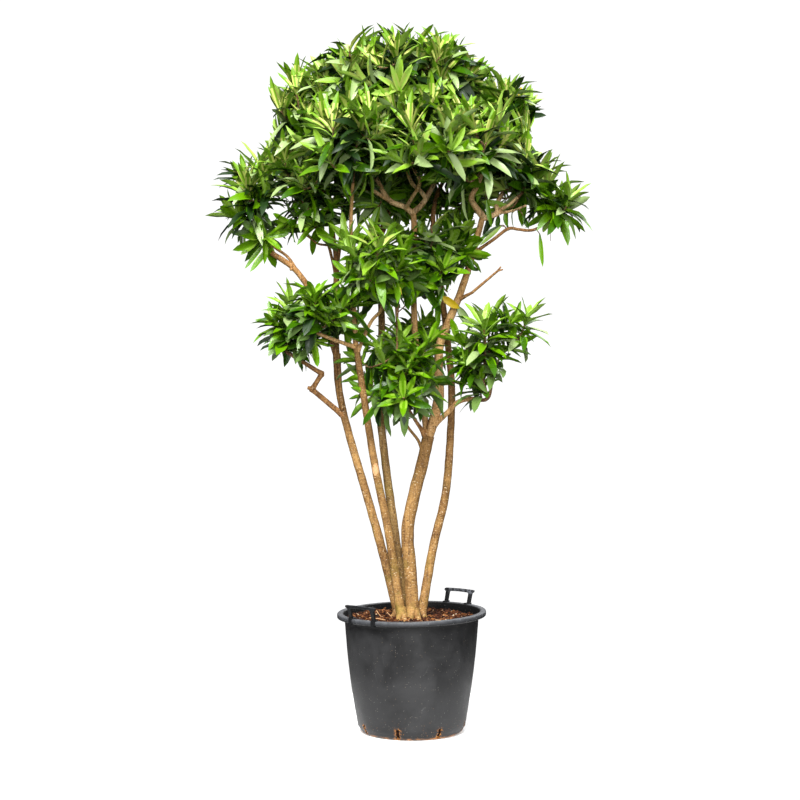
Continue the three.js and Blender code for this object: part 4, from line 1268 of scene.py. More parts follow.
def rosette(leaves, path, count, span, size, light, draw, lift=LEAF_LIFT):
    """Leaves round the end of a shoot: upright young ones at its tip, drooping older ones below.

    Shoots in the shade carry shorter, broader leaves that spread more openly.
    """
    shade = min(1.0, max(0.0, (FULL_LIGHT - light) / SHADE_RANGE))
    length = run_along(path)[-1]
    span = min(span, LONGEST_SPAN * length)
    turn = FULL_TURN * draw()
    ages = np.arange(count) / (count - 1)
    shares = 1 - span * ages**AGE_SPACING / length
    roots = along(path, shares)
    ahead = along(path, np.minimum(shares + AXIS_LOOK, 1.0)) - along(path, shares - AXIS_LOOK)
    axes = unit(unit(ahead) + UP * lift * (1 - SHADE_LIFT * shade))
    for age, root, axis in zip(ages, roots, axes):
        normal, binormal = square_to(axis)
        turn += GOLDEN_TURN + scattered(draw, LEAF_TURN_SCATTER)
        grown = min(1.0, YOUNGEST_SIZE + SIZE_BY_AGE * age)
        blade = size * LEAF_LENGTH * grown * (LEAST_LENGTH + LENGTH_SCATTER * draw())
        blade = blade * (1 - SHADE_SHORTER * shade)
        breadth = YOUNG_BREADTH + (OLD_BREADTH - YOUNG_BREADTH) * min(1.0, BREADTH_BY_AGE * age)
        breadth *= 1 + SHADE_BREADTH * shade
        margin, middle = leaf_tones(age, light, draw)
        lean_deg = LEAN_DEG + LEAN_BY_SHADE * shade
        lean_deg += (LEAN_BY_AGE - LEAN_LESS_IN_SHADE * shade) * age**LEAN_POWER
        leaves.append(dict(
            root=root, axis=axis, radial=normal * math.cos(turn) + binormal * math.sin(turn),
            lean=math.radians(lean_deg + scattered(draw, LEAN_SCATTER)),
            curve=math.radians(CURVE_DEG + CURVE_BY_AGE * age + scattered(draw, CURVE_SCATTER)),
            sag=LEAST_SAG + SAG_BY_AGE * age * draw(),
            sway=scattered(draw, SWAY_SCATTER), twist=scattered(draw, TWIST_SCATTER),
            fold=YOUNG_FOLD - FOLD_BY_AGE * age, length=blade,
            width=blade * breadth * (LEAST_WIDTH + WIDTH_SCATTER * draw()),
            stripe=YOUNG_STRIPE if age < YOUNG_AGE else OLD_STRIPE, ripple=draw(),
            margin=LEAF_KINDS.index(margin), middle=LEAF_KINDS.index(middle)))


def blade_points(leaves):
    """The points of all leaves at once: five across at each station, and a point at the end."""
    def column(key):
        return np.array([leaf[key] for leaf in leaves])

    root, axis, radial = column("root"), column("axis"), column("radial")
    lean, curve, sway, length = column("lean"), column("curve"), column("sway"), column("length")
    side = np.cross(axis, radial)
    stations = LEAF_STATIONS

    def facing(t):
        angle = lean[:, None] + curve[:, None] * t
        turn = sway[:, None] * t
        out = radial[:, None] * np.cos(turn)[..., None] + side[:, None] * np.sin(turn)[..., None]
        ahead = axis[:, None] * np.cos(angle)[..., None] + out * np.sin(angle)[..., None]
        upper = axis[:, None] * np.sin(angle)[..., None] - out * np.cos(angle)[..., None]
        return ahead, upper, np.cross(upper, ahead)

    ahead, _, _ = facing((stations[1:] + stations[:-1]) / 2)
    steps = ahead * np.diff(stations)[None, :, None] * length[:, None, None]
    spine = np.concatenate([root[:, None], root[:, None] + np.cumsum(steps, axis=1)], axis=1)
    spine[..., 2] -= (column("sag") * length)[:, None] * stations**2
    _, upper, right = facing(stations[:-1])
    turn = column("twist")[:, None] * stations[:-1]
    lifted = upper * np.cos(turn)[..., None] - right * np.sin(turn)[..., None]
    across = right * np.cos(turn)[..., None] + upper * np.sin(turn)[..., None]
    half = column("width")[:, None] * 0.5 * LEAF_OUTLINE
    stripe = column("stripe")
    edge = np.ones_like(stripe)
    columns = np.stack([-edge, -stripe, 0 * edge, stripe, edge], 1)
    fold = column("fold")[:, None] + ROOT_FOLD * (1 - stations[:-1]) ** 3
    phase = WAVES_ALONG * stations[:-1] + column("ripple")[:, None]
    wave = WAVE_HEIGHT * np.sin(FULL_TURN * phase)
    rise = fold[..., None] * np.abs(columns)[:, None] + wave[..., None] * columns[:, None] ** 2
    rise = half[..., None] * rise
    points = spine[:, :-1, None] + across[:, :, None] * (half[..., None] * columns[:, None])[..., None]
    points = points + lifted[:, :, None] * rise[..., None]
    count = len(leaves)
    return np.concatenate([points.reshape(count, -1, 3), spine[:, -1:]], axis=1), spine, columns


# Places kept open so that forks, lone leaves and sky show: left, right, foot, top, depth from the front
OPEN_PLACES = (
    (-0.14, 0.1, 1.865, 1.99, 0.0),
    (0.275, 0.43, 1.888, 1.972, -0.03),
    (0.2, 0.268, 1.9, 2.0, -0.1),
    (0.165, 0.3, 1.585, 1.67, 0.0),
    (-0.335, -0.2, 1.41, 1.458, -0.085),
    (-0.18, -0.105, 1.475, 1.565, -0.112),
    (0.335, 0.5, 1.2, 1.345, 0.3),
    (0.285, 0.5, 1.15, 1.275, 0.3),
    (-0.42, -0.3, 1.66, 1.78, 0.0),
    (-0.36, -0.2, 2.535, 2.7, 0.6),
    (-0.12, 0.02, 2.6, 2.7, 0.6),
    (0.2, 0.32, 2.505, 2.7, 0.6),
    (0.31, 0.45, 2.445, 2.7, 0.6),
    (-0.6, -0.525, 2.17, 2.37, 0.6),
    (0.45, 0.6, 2.14, 2.27, 0.6),
    (-0.53, -0.475, 1.9, 1.937, 0.2),
    (0.105, 0.18, 1.553, 1.612, -0.042),
    (-0.225, -0.155, 1.19, 1.44, -0.08),
)


def in_the_open(line):
    """True if a leaf's middle line is clear of the open places and inside the plant's own box."""
    near = np.array(cad_box[0]) - LEAF_PAST_BOX
    far = np.array(cad_box[1]) + LEAF_PAST_BOX
    if (line < near).any() or (line > far).any():
        return False
    x, y, z = line.T
    for left, right, foot, top, depth in OPEN_PLACES:
        if ((x > left) & (x < right) & (z > foot) & (z < top) & (y < depth)).any():
            return False
    return True


def leaf_piece(mass, leaves):
    """One mass's leaves joined in a mesh, each blade of a few faces."""
    points, spine, columns = blade_points(leaves)
    past = shares_of_reach(spine[:, -1]).min(axis=1)
    kept = []
    for i, line in enumerate(spine):
        if leaves[i].get("lone"):
            kept.append(i)
            continue
        if past[i] > leaves[i].get("reach", LEAF_PAST_REACH) or not in_the_open(line):
            continue
        if meets_limb(line[CLEAR_STATION], LIMB_CLEARANCE) or meets_limb(line[-1], LIMB_CLEARANCE):
            continue
        kept.append(i)
    rows = len(LEAF_STATIONS) - 1
    pattern = []
    strips = ACROSS - 1
    for at in range(0, (rows - 1) * ACROSS, ACROSS):
        for c in range(at, at + strips):
            pattern.append((c, c + ACROSS, c + ACROSS + 1, c + 1))
    for c in range((rows - 1) * ACROSS, rows * ACROSS - 1):
        pattern.append((c, rows * ACROSS, c + 1))
    whole = Joined()
    for i in kept:
        leaf = leaves[i]
        places = [(0.5 + 0.5 * side, along_it) for along_it in LEAF_STATIONS[:-1] for side in columns[i]]
        places.append((0.5, 1.0))
        uv = [places[corner] for face in pattern for corner in face]
        edges = strips * (rows - 2)
        tones = (leaf["margin"], leaf["middle"], leaf["middle"], leaf["margin"])
        finish = [tones[k % strips] if k < edges else leaf["middle"] for k in range(len(pattern))]
        whole.add(points[i], pattern, uv, finish)
    name = mass["name"].replace("foliage", "leaves")
    joined_piece(name, whole, LEAF_FINISHES, "foliage", mass["name"])


def shoot_light(mass, tip, draw):
    """How much light a shoot stands in, from its height in the crown and in its own mass."""
    own = (tip[2] - mass["centre"][2] + mass["reach"][2]) / (2 * mass["reach"][2])
    crown = (tip[2] - CROWN_FOOT) / CROWN_DEPTH
    buried = max(0.0, BURIED_AT - shares_of_reach(tip).min())
    light = LEAST_LIGHT + OWN_LIGHT * own + CROWN_LIGHT * crown - BURIED_SHADE * buried
    return light + scattered(draw, LIGHT_SCATTER)


# Leaves that hang alone, in the order: mass, root, tip, breadth, and finishes of margin and middle
LONE_LEAVES = (
    ("foliage_far_right", (0.4705, -0.042, 1.834), (0.4815, -0.046, 1.71), 0.018, "fresh", "mid"),
    ("foliage_far_right", (0.504, -0.034, 1.882), (0.482, -0.04, 1.838), 0.021, "pale_edge", "bright"),
    ("foliage_far_left", (-0.545, -0.02, 1.797), (-0.616, -0.03, 1.704), 0.019, "fresh", "mid"),
    ("foliage_far_left", (-0.525, -0.024, 1.784), (-0.595, -0.036, 1.693), 0.025, "bright", "mid"),
    ("foliage_far_left", (-0.557, -0.02, 1.822), (-0.631, -0.03, 1.756), 0.029, "bright", "fresh"),
    ("foliage_right_front", (0.272, -0.1, 1.952), (0.29, -0.11, 1.849), 0.02, "mid", "mid"),
    ("foliage_right_low", (0.33, -0.044, 1.862), (0.249, -0.05, 1.789), 0.017, "pale_edge", "bright"),
    ("foliage_right_low", (0.326, -0.03, 1.866), (0.255, -0.032, 1.818), 0.018, "deep", "deep"),
    ("foliage_right_low", (0.41, -0.04, 1.9), (0.43, -0.044, 1.852), 0.018, "mid", "deep"),
    ("foliage_right_low", (0.307, 0.0, 1.902), (0.262, 0.006, 1.832), 0.022, "deep", "dark"),
    ("foliage_right_low", (0.286, 0.0, 1.894), (0.268, 0.01, 1.82), 0.02, "dark", "dark"),
    ("foliage_right_low", (0.322, 0.0, 1.908), (0.318, 0.004, 1.852), 0.02, "deep", "deep"),
    ("foliage_right_low", (0.344, -0.02, 1.916), (0.352, -0.02, 1.862), 0.02, "deep", "mid"),
    ("foliage_mid_right", (0.214, 0.006, 1.764), (0.263, 0.012, 1.742), 0.02, "deep", "deep"),
    ("foliage_mid_right", (0.2, 0.008, 1.726), (0.2495, 0.014, 1.7015), 0.018, "deep", "deep"),
    ("foliage_mid_right", (0.1095, -0.03, 1.606), (0.1765, -0.036, 1.559), 0.03, "yellowed", "yellowed"),
    ("foliage_mid_right", (0.167, -0.014, 1.572), (0.224, -0.04, 1.484), 0.034, "waxy_deep", "waxy"),
    ("foliage_mid_right", (0.106, 0.024, 1.65), (0.088, 0.014, 1.535), 0.018, "mid", "mid"),
    ("foliage_mid_right", (0.098, 0.02, 1.6), (0.1, 0.01, 1.49), 0.024, "fresh", "mid"),
)

# Thin stalks and straws, in the order: places, radius at both ends
LONE_STALKS = (
    (((0.458, -0.038, 1.853), (0.464, -0.041, 1.842), (0.4705, -0.042, 1.833)), 0.0022, 0.0016),
    (((0.505, -0.03, 1.885), (0.511, -0.032, 1.86), (0.511, -0.033, 1.808)), 0.0014, 0.0009),
    (((-0.545, -0.012, 1.832), (-0.547, -0.016, 1.812), (-0.545, -0.02, 1.796)), 0.002, 0.0016),
    (((-0.51, -0.018, 1.79), (-0.52, -0.022, 1.788), (-0.525, -0.024, 1.783)), 0.002, 0.0016),
    (((-0.551, -0.012, 1.838), (-0.556, -0.016, 1.83), (-0.557, -0.02, 1.821)), 0.002, 0.0016),
    (((0.262, -0.07, 1.99), (0.268, -0.09, 1.972), (0.272, -0.1, 1.951)), 0.002, 0.0016),
    (((0.35, -0.04, 1.85), (0.342, -0.043, 1.86), (0.329, -0.044, 1.861)), 0.002, 0.0016),
    (((0.348, -0.038, 1.852), (0.338, -0.032, 1.866), (0.325, -0.03, 1.865)), 0.002, 0.0016),
    (((0.39, -0.04, 1.925), (0.402, -0.04, 1.915), (0.41, -0.04, 1.899)), 0.002, 0.0016),
    (((0.108, 0.04, 1.6), (0.106, 0.0, 1.612), (0.1095, -0.03, 1.605)), 0.002, 0.0016),
    (((0.16, 0.0, 1.58), (0.164, -0.008, 1.576), (0.167, -0.014, 1.571)), 0.002, 0.0016),
    (((0.092, 0.05, 1.63), (0.104, 0.035, 1.655), (0.106, 0.024, 1.649)), 0.002, 0.0016),
    (((0.108, 0.04, 1.598), (0.1, 0.028, 1.606), (0.098, 0.02, 1.599)), 0.002, 0.0016),
    (((-0.0555, -0.14, 1.558), (-0.0545, -0.14, 1.53), (-0.053, -0.139, 1.485)), 0.006, 0.0042),
    (((-0.05, -0.14, 1.54), (-0.03, -0.142, 1.558), (-0.01, -0.145, 1.579)), 0.0024, 0.0016),
)

# A thin shoot that hangs in front of the lower crown, its leaves among those of the mass under it
HANGING_SHOOT = (
    (-0.113, -0.13, 1.607), (-0.07, -0.14, 1.662), (-0.047, -0.142, 1.64), (-0.0494, -0.14, 1.5735),
    (-0.0525, -0.139, 1.512), (-0.0537, -0.138, 1.42), (-0.0555, -0.134, 1.31),
)
HANGING_MASS = "foliage_low_mid"

LONE_FACING = np.array((0.25, 1.0, 0.0))
LONE_SHAPE = dict(lean=0.12, curve=-0.24, sag=0.0, sway=0.1, twist=0.3, fold=0.25, ripple=0.3)


def lone_leaf(root, tip, breadth, margin, middle):
    """A leaf that hangs straight from its root to its tip, with its face to the front."""
    root, tip = np.array(root), np.array(tip)
    blade = np.linalg.norm(tip - root)
    axis = unit(tip - root)
    radial = unit(LONE_FACING - LONE_FACING.dot(axis) * axis)
    return dict(root=root, axis=axis, radial=radial, length=blade, width=breadth, stripe=OLD_STRIPE,
                margin=LEAF_KINDS.index(margin), middle=LEAF_KINDS.index(middle), lone=True, **LONE_SHAPE)


all_twigs = Joined()
for mass in masses:
    draw = seeded(SIDE_SEED + mass["index"] * SEED_STEP)
    shoots = main_twigs(mass)
    tips = [shoot["path"][-1] for shoot in shoots]
    sides = closing_twigs(mass, shoots, tips)
    for shoot in shoots:
        sides.extend(side_twigs(mass, shoot, tips, draw))
    leaves = []
    for shoot in shoots:
        light = shoot_light(mass, shoot["path"][-1], draw)
        rosette(leaves, shoot["path"], MAIN_LEAVES, MAIN_RUN, 1.0, light, draw)
    for shoot in sides:
        light = shoot_light(mass, shoot["path"][-1], draw) - SIDE_SHADE
        first = len(leaves)
        rosette(leaves, shoot["path"], SIDE_LEAVES, SIDE_RUN, SIDE_SIZE, light, draw)
        for leaf in leaves[first:]:
            leaf["reach"] = shoot.get("leaf_reach", LEAF_PAST_REACH)
    if mass["name"] == HANGING_MASS:
        hanging = dict(path=smooth_path(HANGING_SHOOT, TWIG_CURVE_STEPS), radius=HANGING_RADIUS)
        rosette(leaves, hanging["path"], MAIN_LEAVES, MAIN_RUN, 1.0, SHADE_LIGHT, draw, 0.0)
        sides.append(hanging)
    leaves.extend(lone_leaf(*leaf[1:]) for leaf in LONE_LEAVES if leaf[0] == mass["name"])
    for k, shoot in enumerate(shoots + sides):
        count = ring_count(shoot["path"], TWIG_STEP)
        seed = mass["index"] + TWIG_SEED_STEP * k
        all_twigs.add(*strand(shoot["path"], shoot["radius"], SHOOT_END, count, TWIG_SIDES, seed))
    leaf_piece(mass, leaves)
for k, (places, thick, thin) in enumerate(LONE_STALKS):
    all_twigs.add(*strand(smooth_path(places), thick, thin, STALK_RINGS, TWIG_SIDES, STALK_SEED + k))
joined_piece("twigs", all_twigs, [BARK_TWIG], "bark")


# Pot and handles
def scuffed_plastic_group():
    """Dusty clouds, specks and scratches on soft black plastic."""
    inputs = [("Plain", "Color", colour("#2f3033")), ("Dust", "Color", colour("#62646c")),
              ("Dust amount", "Float", 0.8)]
    group, given, put = node_group("scuffed_plastic", inputs,
                                   [("Colour", "Color"), ("Roughness", "Float"), ("Height", "Float")])
    place = own_place(group)
    clouds = ranged(group, speckled(group, place, 8.0, 6.0, 0.6, 0.4), 0.38, 0.68)
    grain = speckled(group, place, 260.0, 3.0, 0.6)
    dusty = times(group, clouds, given["Dust amount"])
    skin = mixed(group, dusty, given["Plain"], given["Dust"])
    skin = mixed(group, ranged(group, grain, 0.3, 0.7, 0.0, 0.22), skin, colour("#1f2022"))
    marks = []
    for scale, turn in (((1.0, 26.0, 1.0), (0.4, 0.9, 0.3)), ((1.0, 1.0, 30.0), (0.5, 0.35, 0.2))):
        lines = speckled(group, stretched(group, place, scale, turn), 14.0, 2.0, 0.5)
        marks.append(ranged(group, lines, 0.7, 0.76, 0.0, 1.0))
    scratches = times(group, maths(group, "MAXIMUM", *marks), clouds)
    skin = mixed(group, times(group, scratches, 0.1), skin, colour("#8c8c8c"))
    dots = add_node(group, "ShaderNodeTexVoronoi", {"Vector": place, "Scale": 170.0})
    chosen = add_node(group, "ShaderNodeSeparateColor", {0: dots.outputs["Color"]}).outputs
    near = ranged(group, dots.outputs["Distance"], 0.1, 0.2, 1.0, 0.0)
    specks = times(group, near, maths(group, "GREATER_THAN", chosen[0], 0.84))
    fleck = mixed(group, chosen[1], colour("#c9c7c2"), colour("#a58a62"))
    skin = mixed(group, times(group, specks, 0.34), skin, fleck)
    group.links.new(skin, put["Colour"])
    group.links.new(ranged(group, plus(group, clouds, grain), 0.4, 1.5, 0.42, 0.66), put["Roughness"])
    height = minus(group, times(group, grain, 0.4), scratches)
    group.links.new(height, put["Height"])
    return group


SCUFFED_PLASTIC = scuffed_plastic_group()


def plastic_finish(name, plain, dust, amount, gloss=0.35):
    material, tree, shader = new_material(name, Specular_IOR_Level=gloss)
    given = {"Plain": colour(plain), "Dust": colour(dust), "Dust amount": amount}
    scuffs = add_node(tree, "ShaderNodeGroup", given, node_tree=SCUFFED_PLASTIC).outputs
    tree.links.new(scuffs["Roughness"], shader.inputs["Roughness"])
    bump(tree, shader, scuffs["Height"], 0.25, 0.0006)
    return material, tree, shader, scuffs["Colour"]


def pot_finish():
    """The pot's plastic: a worn lip with a painted highlight along its top, painted shade on the wall just
    under the lip, and rusty mud at the drain slots and the foot.
    """
    material, tree, shader, skin = plastic_finish("pot_plastic", "#0c0c0d", "#282829", 0.85)
    place = own_place(tree)
    x, y, z = xyz(tree, place)
    patchy = speckled(tree, place, 38.0, 4.0, 0.65)
    fine = speckled(tree, place, 170.0, 3.0, 0.6)
    out = maths(tree, "SQRT", plus(tree, maths(tree, "POWER", x, 2.0), maths(tree, "POWER", y, 2.0)))
    pulled = plus(tree, times(tree, x, RIM_TILT), times(tree, plus(tree, y, LIP_RADIUS), RIM_RISE))
    level = minus(tree, z, pulled)
    # Painted shade: the wall darkens to near black just under the lip, where the lip would shade it.
    below = ranged(tree, level, LIP_FOOT - 0.035, LIP_FOOT - 0.004, 0.0, 0.8)
    skin = mixed(tree, below, skin, colour("#0c0c0d"))
    lip = ranged(tree, level, LIP_FOOT - 0.002, LIP_FOOT + 0.001)
    lip = times(tree, lip, ranged(tree, out, WALL_TOP_RADIUS + 0.004, WALL_TOP_RADIUS + 0.01))
    # The lip's worn patches grow lighter towards its top: the patches are wear, and the lighter top is a
    # painted highlight on the rolled edge.
    upper = ranged(tree, level, LIP_FOOT + 0.002, POT_HEIGHT - 0.002)
    worn_lip_and_painted_highlight = mixed(tree, upper, colour("#191a1c"), colour("#505256"))
    skin = mixed(tree, times(tree, lip, ranged(tree, patchy, 0.3, 0.62, 0.35, 0.95)), skin, worn_lip_and_painted_highlight)
    chips = times(tree, lip, ranged(tree, fine, 0.66, 0.72, 0.0, 0.45))
    skin = mixed(tree, chips, skin, colour("#c9c9c8"))
    turn = maths(tree, "ARCTAN2", y, x)
    first = math.radians(SLOT_FIRST_DEG - 90)
    apart = FULL_TURN / SLOT_COUNT
    off = maths(tree, "PINGPONG", minus(tree, turn, first), apart / 2)
    beside = ranged(tree, off, 0.034, 0.085, 1.0, 0.0)
    low = ranged(tree, z, SLOT_HEIGHT * 0.9, SLOT_HEIGHT * 1.35, 1.0, 0.0)
    mud = times(tree, times(tree, beside, low), ranged(tree, fine, 0.5, 0.58))
    foot = ranged(tree, z, 0.003, 0.011, 0.8, 0.0)
    mud = maths(tree, "MAXIMUM", mud, times(tree, foot, ranged(tree, patchy, 0.4, 0.6)))
    crumbs = times(tree, ranged(tree, z, 0.04, 0.075, 1.0, 0.0), ranged(tree, fine, 0.68, 0.71))
    mud = maths(tree, "MAXIMUM", mud, crumbs)
    rust = mixed(tree, ranged(tree, patchy, 0.35, 0.65), colour("#5a3314"), colour("#cf8a3f"))
    skin = mixed(tree, mud, skin, rust)
    tree.links.new(skin, shader.inputs["Base Color"])
    return material


def inside_painted_shade_finish():
    """The pot's plastic on its inner side, near black as painted shade inside the pot, and hardly worn."""
    material, tree, shader, skin = plastic_finish("pot_inside_painted_shade", "#030303", "#0a0a0b", 0.6, 0.12)
    tree.links.new(skin, shader.inputs["Base Color"])
    return material


def handle_finish():
    material, tree, shader, skin = plastic_finish("handle_plastic", "#070708", "#161719", 0.75, 0.25)
    place = own_place(tree)
    level = xyz(tree, place)[2]
    top = ranged(tree, level, POT_HEIGHT + HANDLE_RISE - 0.006, POT_HEIGHT + HANDLE_RISE, 0.0, 1.0)
    rubbed = times(tree, top, ranged(tree, speckled(tree, place, 90.0, 3.0), 0.4, 0.62))
    tree.links.new(mixed(tree, rubbed, skin, colour("#4d4f54")), shader.inputs["Base Color"])
    return material


POT_FINISH = pot_finish()
INSIDE_PAINTED_SHADE = inside_painted_shade_finish()
HANDLE_FINISH = handle_finish()


def wall_at(level):
    slope = WALL_FOOT_RADIUS + (WALL_TOP_RADIUS - WALL_FOOT_RADIUS) * level / LIP_FOOT
    return slope + WALL_BULGE * math.sin(math.pi * level / LIP_FOOT)


def rim_lift(x, y, z):
    """How far the soft rim is pulled up, more to the right and to the back."""
    return (z / POT_HEIGHT) ** 3 * (RIM_TILT * x + RIM_RISE * (y + LIP_RADIUS))


def arc(centre, radius, start_deg, end_deg, count):
    turns = np.radians(np.linspace(start_deg, end_deg, count))
    return [(centre[0] + radius * math.cos(a), centre[1] + radius * math.sin(a)) for a in turns]


def spin(profile, segments, dent):
    """A section turned round the axis, its ends on the axis, as points and faces that point outwards."""
    rings = profile[1:-1]
    turn = FULL_TURN * np.arange(segments) / segments
    points = []
    for radius, level in rings:
        for a in turn:
            r = radius * (1 + dent(a, level))
            points.append((r * math.cos(a), r * math.sin(a), level))
    foot = len(points)
    points.append((0.0, 0.0, profile[0][1]))
    points.append((0.0, 0.0, profile[-1][1]))
    faces = []
    for j in range(segments):
        k = (j + 1) % segments
        faces.append((foot, k, j))
        for i in range(len(rings) - 1):
            at = i * segments
            faces.append((at + j, at + k, at + segments + k, at + segments + j))
        top = (len(rings) - 1) * segments
        faces.append((top + j, top + k, foot + 1))
    return points, faces


def pot_section():
    """The pot's section from under its middle, up the wall, over the rolled lip and down inside."""
    foot = wall_at(0) - FOOT_ROUNDING
    section = [(0.0, 0.0), (foot * 0.5, 0.0), (foot, 0.0)]
    section += arc((foot, FOOT_ROUNDING), FOOT_ROUNDING, -72, -8, 5)
    section += [(wall_at(z), z) for z in np.linspace(FOOT_ROUNDING, LIP_FOOT - LIP_NECK, WALL_RINGS)]
    section += [(WALL_TOP_RADIUS + 0.0015, LIP_FOOT - 0.0005), (LIP_RADIUS - LIP_LEDGE, LIP_FOOT)]
    section += arc((LIP_RADIUS - LIP_UNDER_ROUND, LIP_FOOT + LIP_NECK), LIP_UNDER_ROUND, -90, 0, 4)
    round_at = (LIP_RADIUS - LIP_OUTER_ROUND, POT_HEIGHT - LIP_OUTER_ROUND)
    section += arc(round_at, LIP_OUTER_ROUND, 0, 90, 5)
    round_at = (WALL_TOP_RADIUS + LIP_INNER_START, POT_HEIGHT - LIP_INNER_ROUND)
    section += arc(round_at, LIP_INNER_ROUND, 90, 170, 5)
    inner = WALL_TOP_RADIUS - WALL
    section += [(inner + 0.001, LIP_FOOT - LIP_NECK)]
    levels = np.linspace(LIP_FOOT - INSIDE_DROP, FOOT_ROUNDING, INSIDE_RINGS)
    section += [(wall_at(z) - WALL, z) for z in levels]
    section += [(foot, FLOOR), (foot * 0.5, FLOOR), (0.0, FLOOR)]
    return section


def pot_dent(angle, level):
    """How far the soft wall is out of round, as a share of its radius."""
    share = level / POT_HEIGHT
    wide = OVAL_SHARE * math.sin(2 * angle + OVAL_PHASE) * share
    x, y = math.cos(angle), math.sin(angle)
    soft = SOFT_SHARE * noise.noise((1.3 * x, 1.3 * y, 4.0 * level)) * math.sin(math.pi * share)
    fine = FINE_SHARE * noise.noise((9 * x, 9 * y, 30 * level))
    return wide + soft + fine * (1.0 if level > PLAIN_FOOT else level / PLAIN_FOOT)


def slot_cutter():
    """The eight drain slots as one mesh of blocks."""
    cutter = bmesh.new()
    for i in range(SLOT_COUNT):
        turn = math.radians(SLOT_FIRST_DEG - 90 + 360 / SLOT_COUNT * i)
        block = bmesh.ops.create_cube(cutter, size=1.0)["verts"]
        for vert in block:
            x = WALL_FOOT_RADIUS - SLOT_INSET + vert.co.x * SLOT_DEPTH
            y = vert.co.y * SLOT_WIDTH * (1 - SLOT_TAPER * (vert.co.z + 0.5))
            z = SLOT_FOOT + (vert.co.z + 0.5) * SLOT_HEIGHT
            vert.co = (x * math.cos(turn) - y * math.sin(turn), x * math.sin(turn) + y * math.cos(turn), z)
    mesh = bpy.data.meshes.new("slot_cutter")
    cutter.to_mesh(mesh)
    cutter.free()
    return linked("slot_cutter", mesh)


def plain_mesh(obj):
    """Puts the evaluated shape of an object in its own mesh and takes its modifiers away."""
    shape = bpy.data.meshes.new_from_object(obj.evaluated_get(bpy.context.evaluated_depsgraph_get()))
    obj.modifiers.clear()
    obj.data = shape


def pot_piece():
    section = pot_section()
    points, faces = spin(section, POT_SEGMENTS, pot_dent)
    warped = [(x, y, z + rim_lift(x, y, z)) for x, y, z in points]
    rim = section.index(max(section, key=lambda place: place[1]))
    inside_radius = WALL_TOP_RADIUS + INSIDE_FROM
    inner = [i for i, (radius, _) in enumerate(section) if i > rim and radius < inside_radius][0]
    per_segment = len(faces) // POT_SEGMENTS
    # Faces inside the pot take the near-black inside finish, which paints the shade inside the pot.
    finish = [1 if k % per_segment >= inner - 1 else 0 for k in range(len(faces))]
    obj = mesh_object("pot_shell", warped, faces, [POT_FINISH, INSIDE_PAINTED_SHADE], finish)
    cutter = slot_cutter()
    cut = obj.modifiers.new("drain slots", "BOOLEAN")
    cut.object = cutter
    cut.solver = "EXACT"
    plain_mesh(obj)
    bpy.data.objects.remove(cutter)
    obj.data.shade_smooth()
    obj.data.set_sharp_from_angle(angle=math.radians(POT_CREASE_DEG))
    set_in_frame(obj, "pot_plastic", "pot")


def handle_piece(name, turn):
    """A strap handle: a bar on two posts that run on over the lip as tongues."""
    half = HANDLE_SPAN / 2
    end = half + HANDLE_OVERHANG
    under = HANDLE_RISE - HANDLE_BAR
    inner = half - HANDLE_POST
    right = [(inner - HANDLE_EASE, under), (inner, under - 0.004), (inner, 0.0), (half, 0.0),
             (half + 0.001, under - 0.002), (end, under + 0.003), (end, HANDLE_RISE - 0.002),
             (end - HANDLE_EASE, HANDLE_RISE)]
    left = [(-x, y) for x, y in reversed(right)]
    outline = right + [(0.0, HANDLE_RISE + HANDLE_CROWN)] + left + [(0.0, under + HANDLE_CROWN)]
    lean = math.tan(math.radians(HANDLE_LEAN_DEG))
    shape = bmesh.new()
    front = [shape.verts.new((x, -HANDLE_SEAT_RADIUS - y * lean - HANDLE_THICK / 2, POT_HEIGHT + y))
             for x, y in outline]
    strap = shape.faces.new(front)
    pulled = bmesh.ops.extrude_face_region(shape, geom=[strap])["geom"]
    for vert in pulled:
        if isinstance(vert, bmesh.types.BMVert):
            vert.co.y += HANDLE_THICK
    for sign in (-1, 1):
        bearing = math.asin(sign * (half - HANDLE_POST / 2) / LIP_RADIUS)
        for low, high, near in (OUTER_TONGUE, UPPER_TONGUE):
            block = bmesh.ops.create_cube(shape, size=1.0)["verts"]
            for vert in block:
                radius = near + (LIP_RADIUS + TONGUE_PAST_LIP - near) * (vert.co.y + 0.5)
                x = vert.co.x * TONGUE_WIDTH
                z = low + (high - low) * (vert.co.z + 0.5)
                vert.co = (radius * math.sin(bearing) + x * math.cos(bearing),
                           -radius * math.cos(bearing) + x * math.sin(bearing), z)
    bmesh.ops.recalc_face_normals(shape, faces=shape.faces)
    bmesh.ops.bevel(shape, geom=shape.edges[:], offset=HANDLE_BEVEL, segments=2, profile=0.6, affect="EDGES")
    seat = turn - math.pi / 2 + math.radians(HANDLE_TURN_DEG)
    for vert in shape.verts:
        x, y, z = vert.co
        x, y = x * math.cos(seat) - y * math.sin(seat), x * math.sin(seat) + y * math.cos(seat)
        vert.co = (x, y, z + rim_lift(x, y, POT_HEIGHT))
    mesh = bpy.data.meshes.new(f"{name}_strap")
    shape.to_mesh(mesh)
    shape.free()
    mesh.materials.append(HANDLE_FINISH)
    mesh.shade_smooth()
    mesh.set_sharp_from_angle(angle=math.radians(HANDLE_CREASE_DEG))
    set_in_frame(linked(f"{name}_strap", mesh), "handle_plastic", name)


pot_piece()
handle_piece("handle_front", 0.0)
handle_piece("handle_back", math.pi)


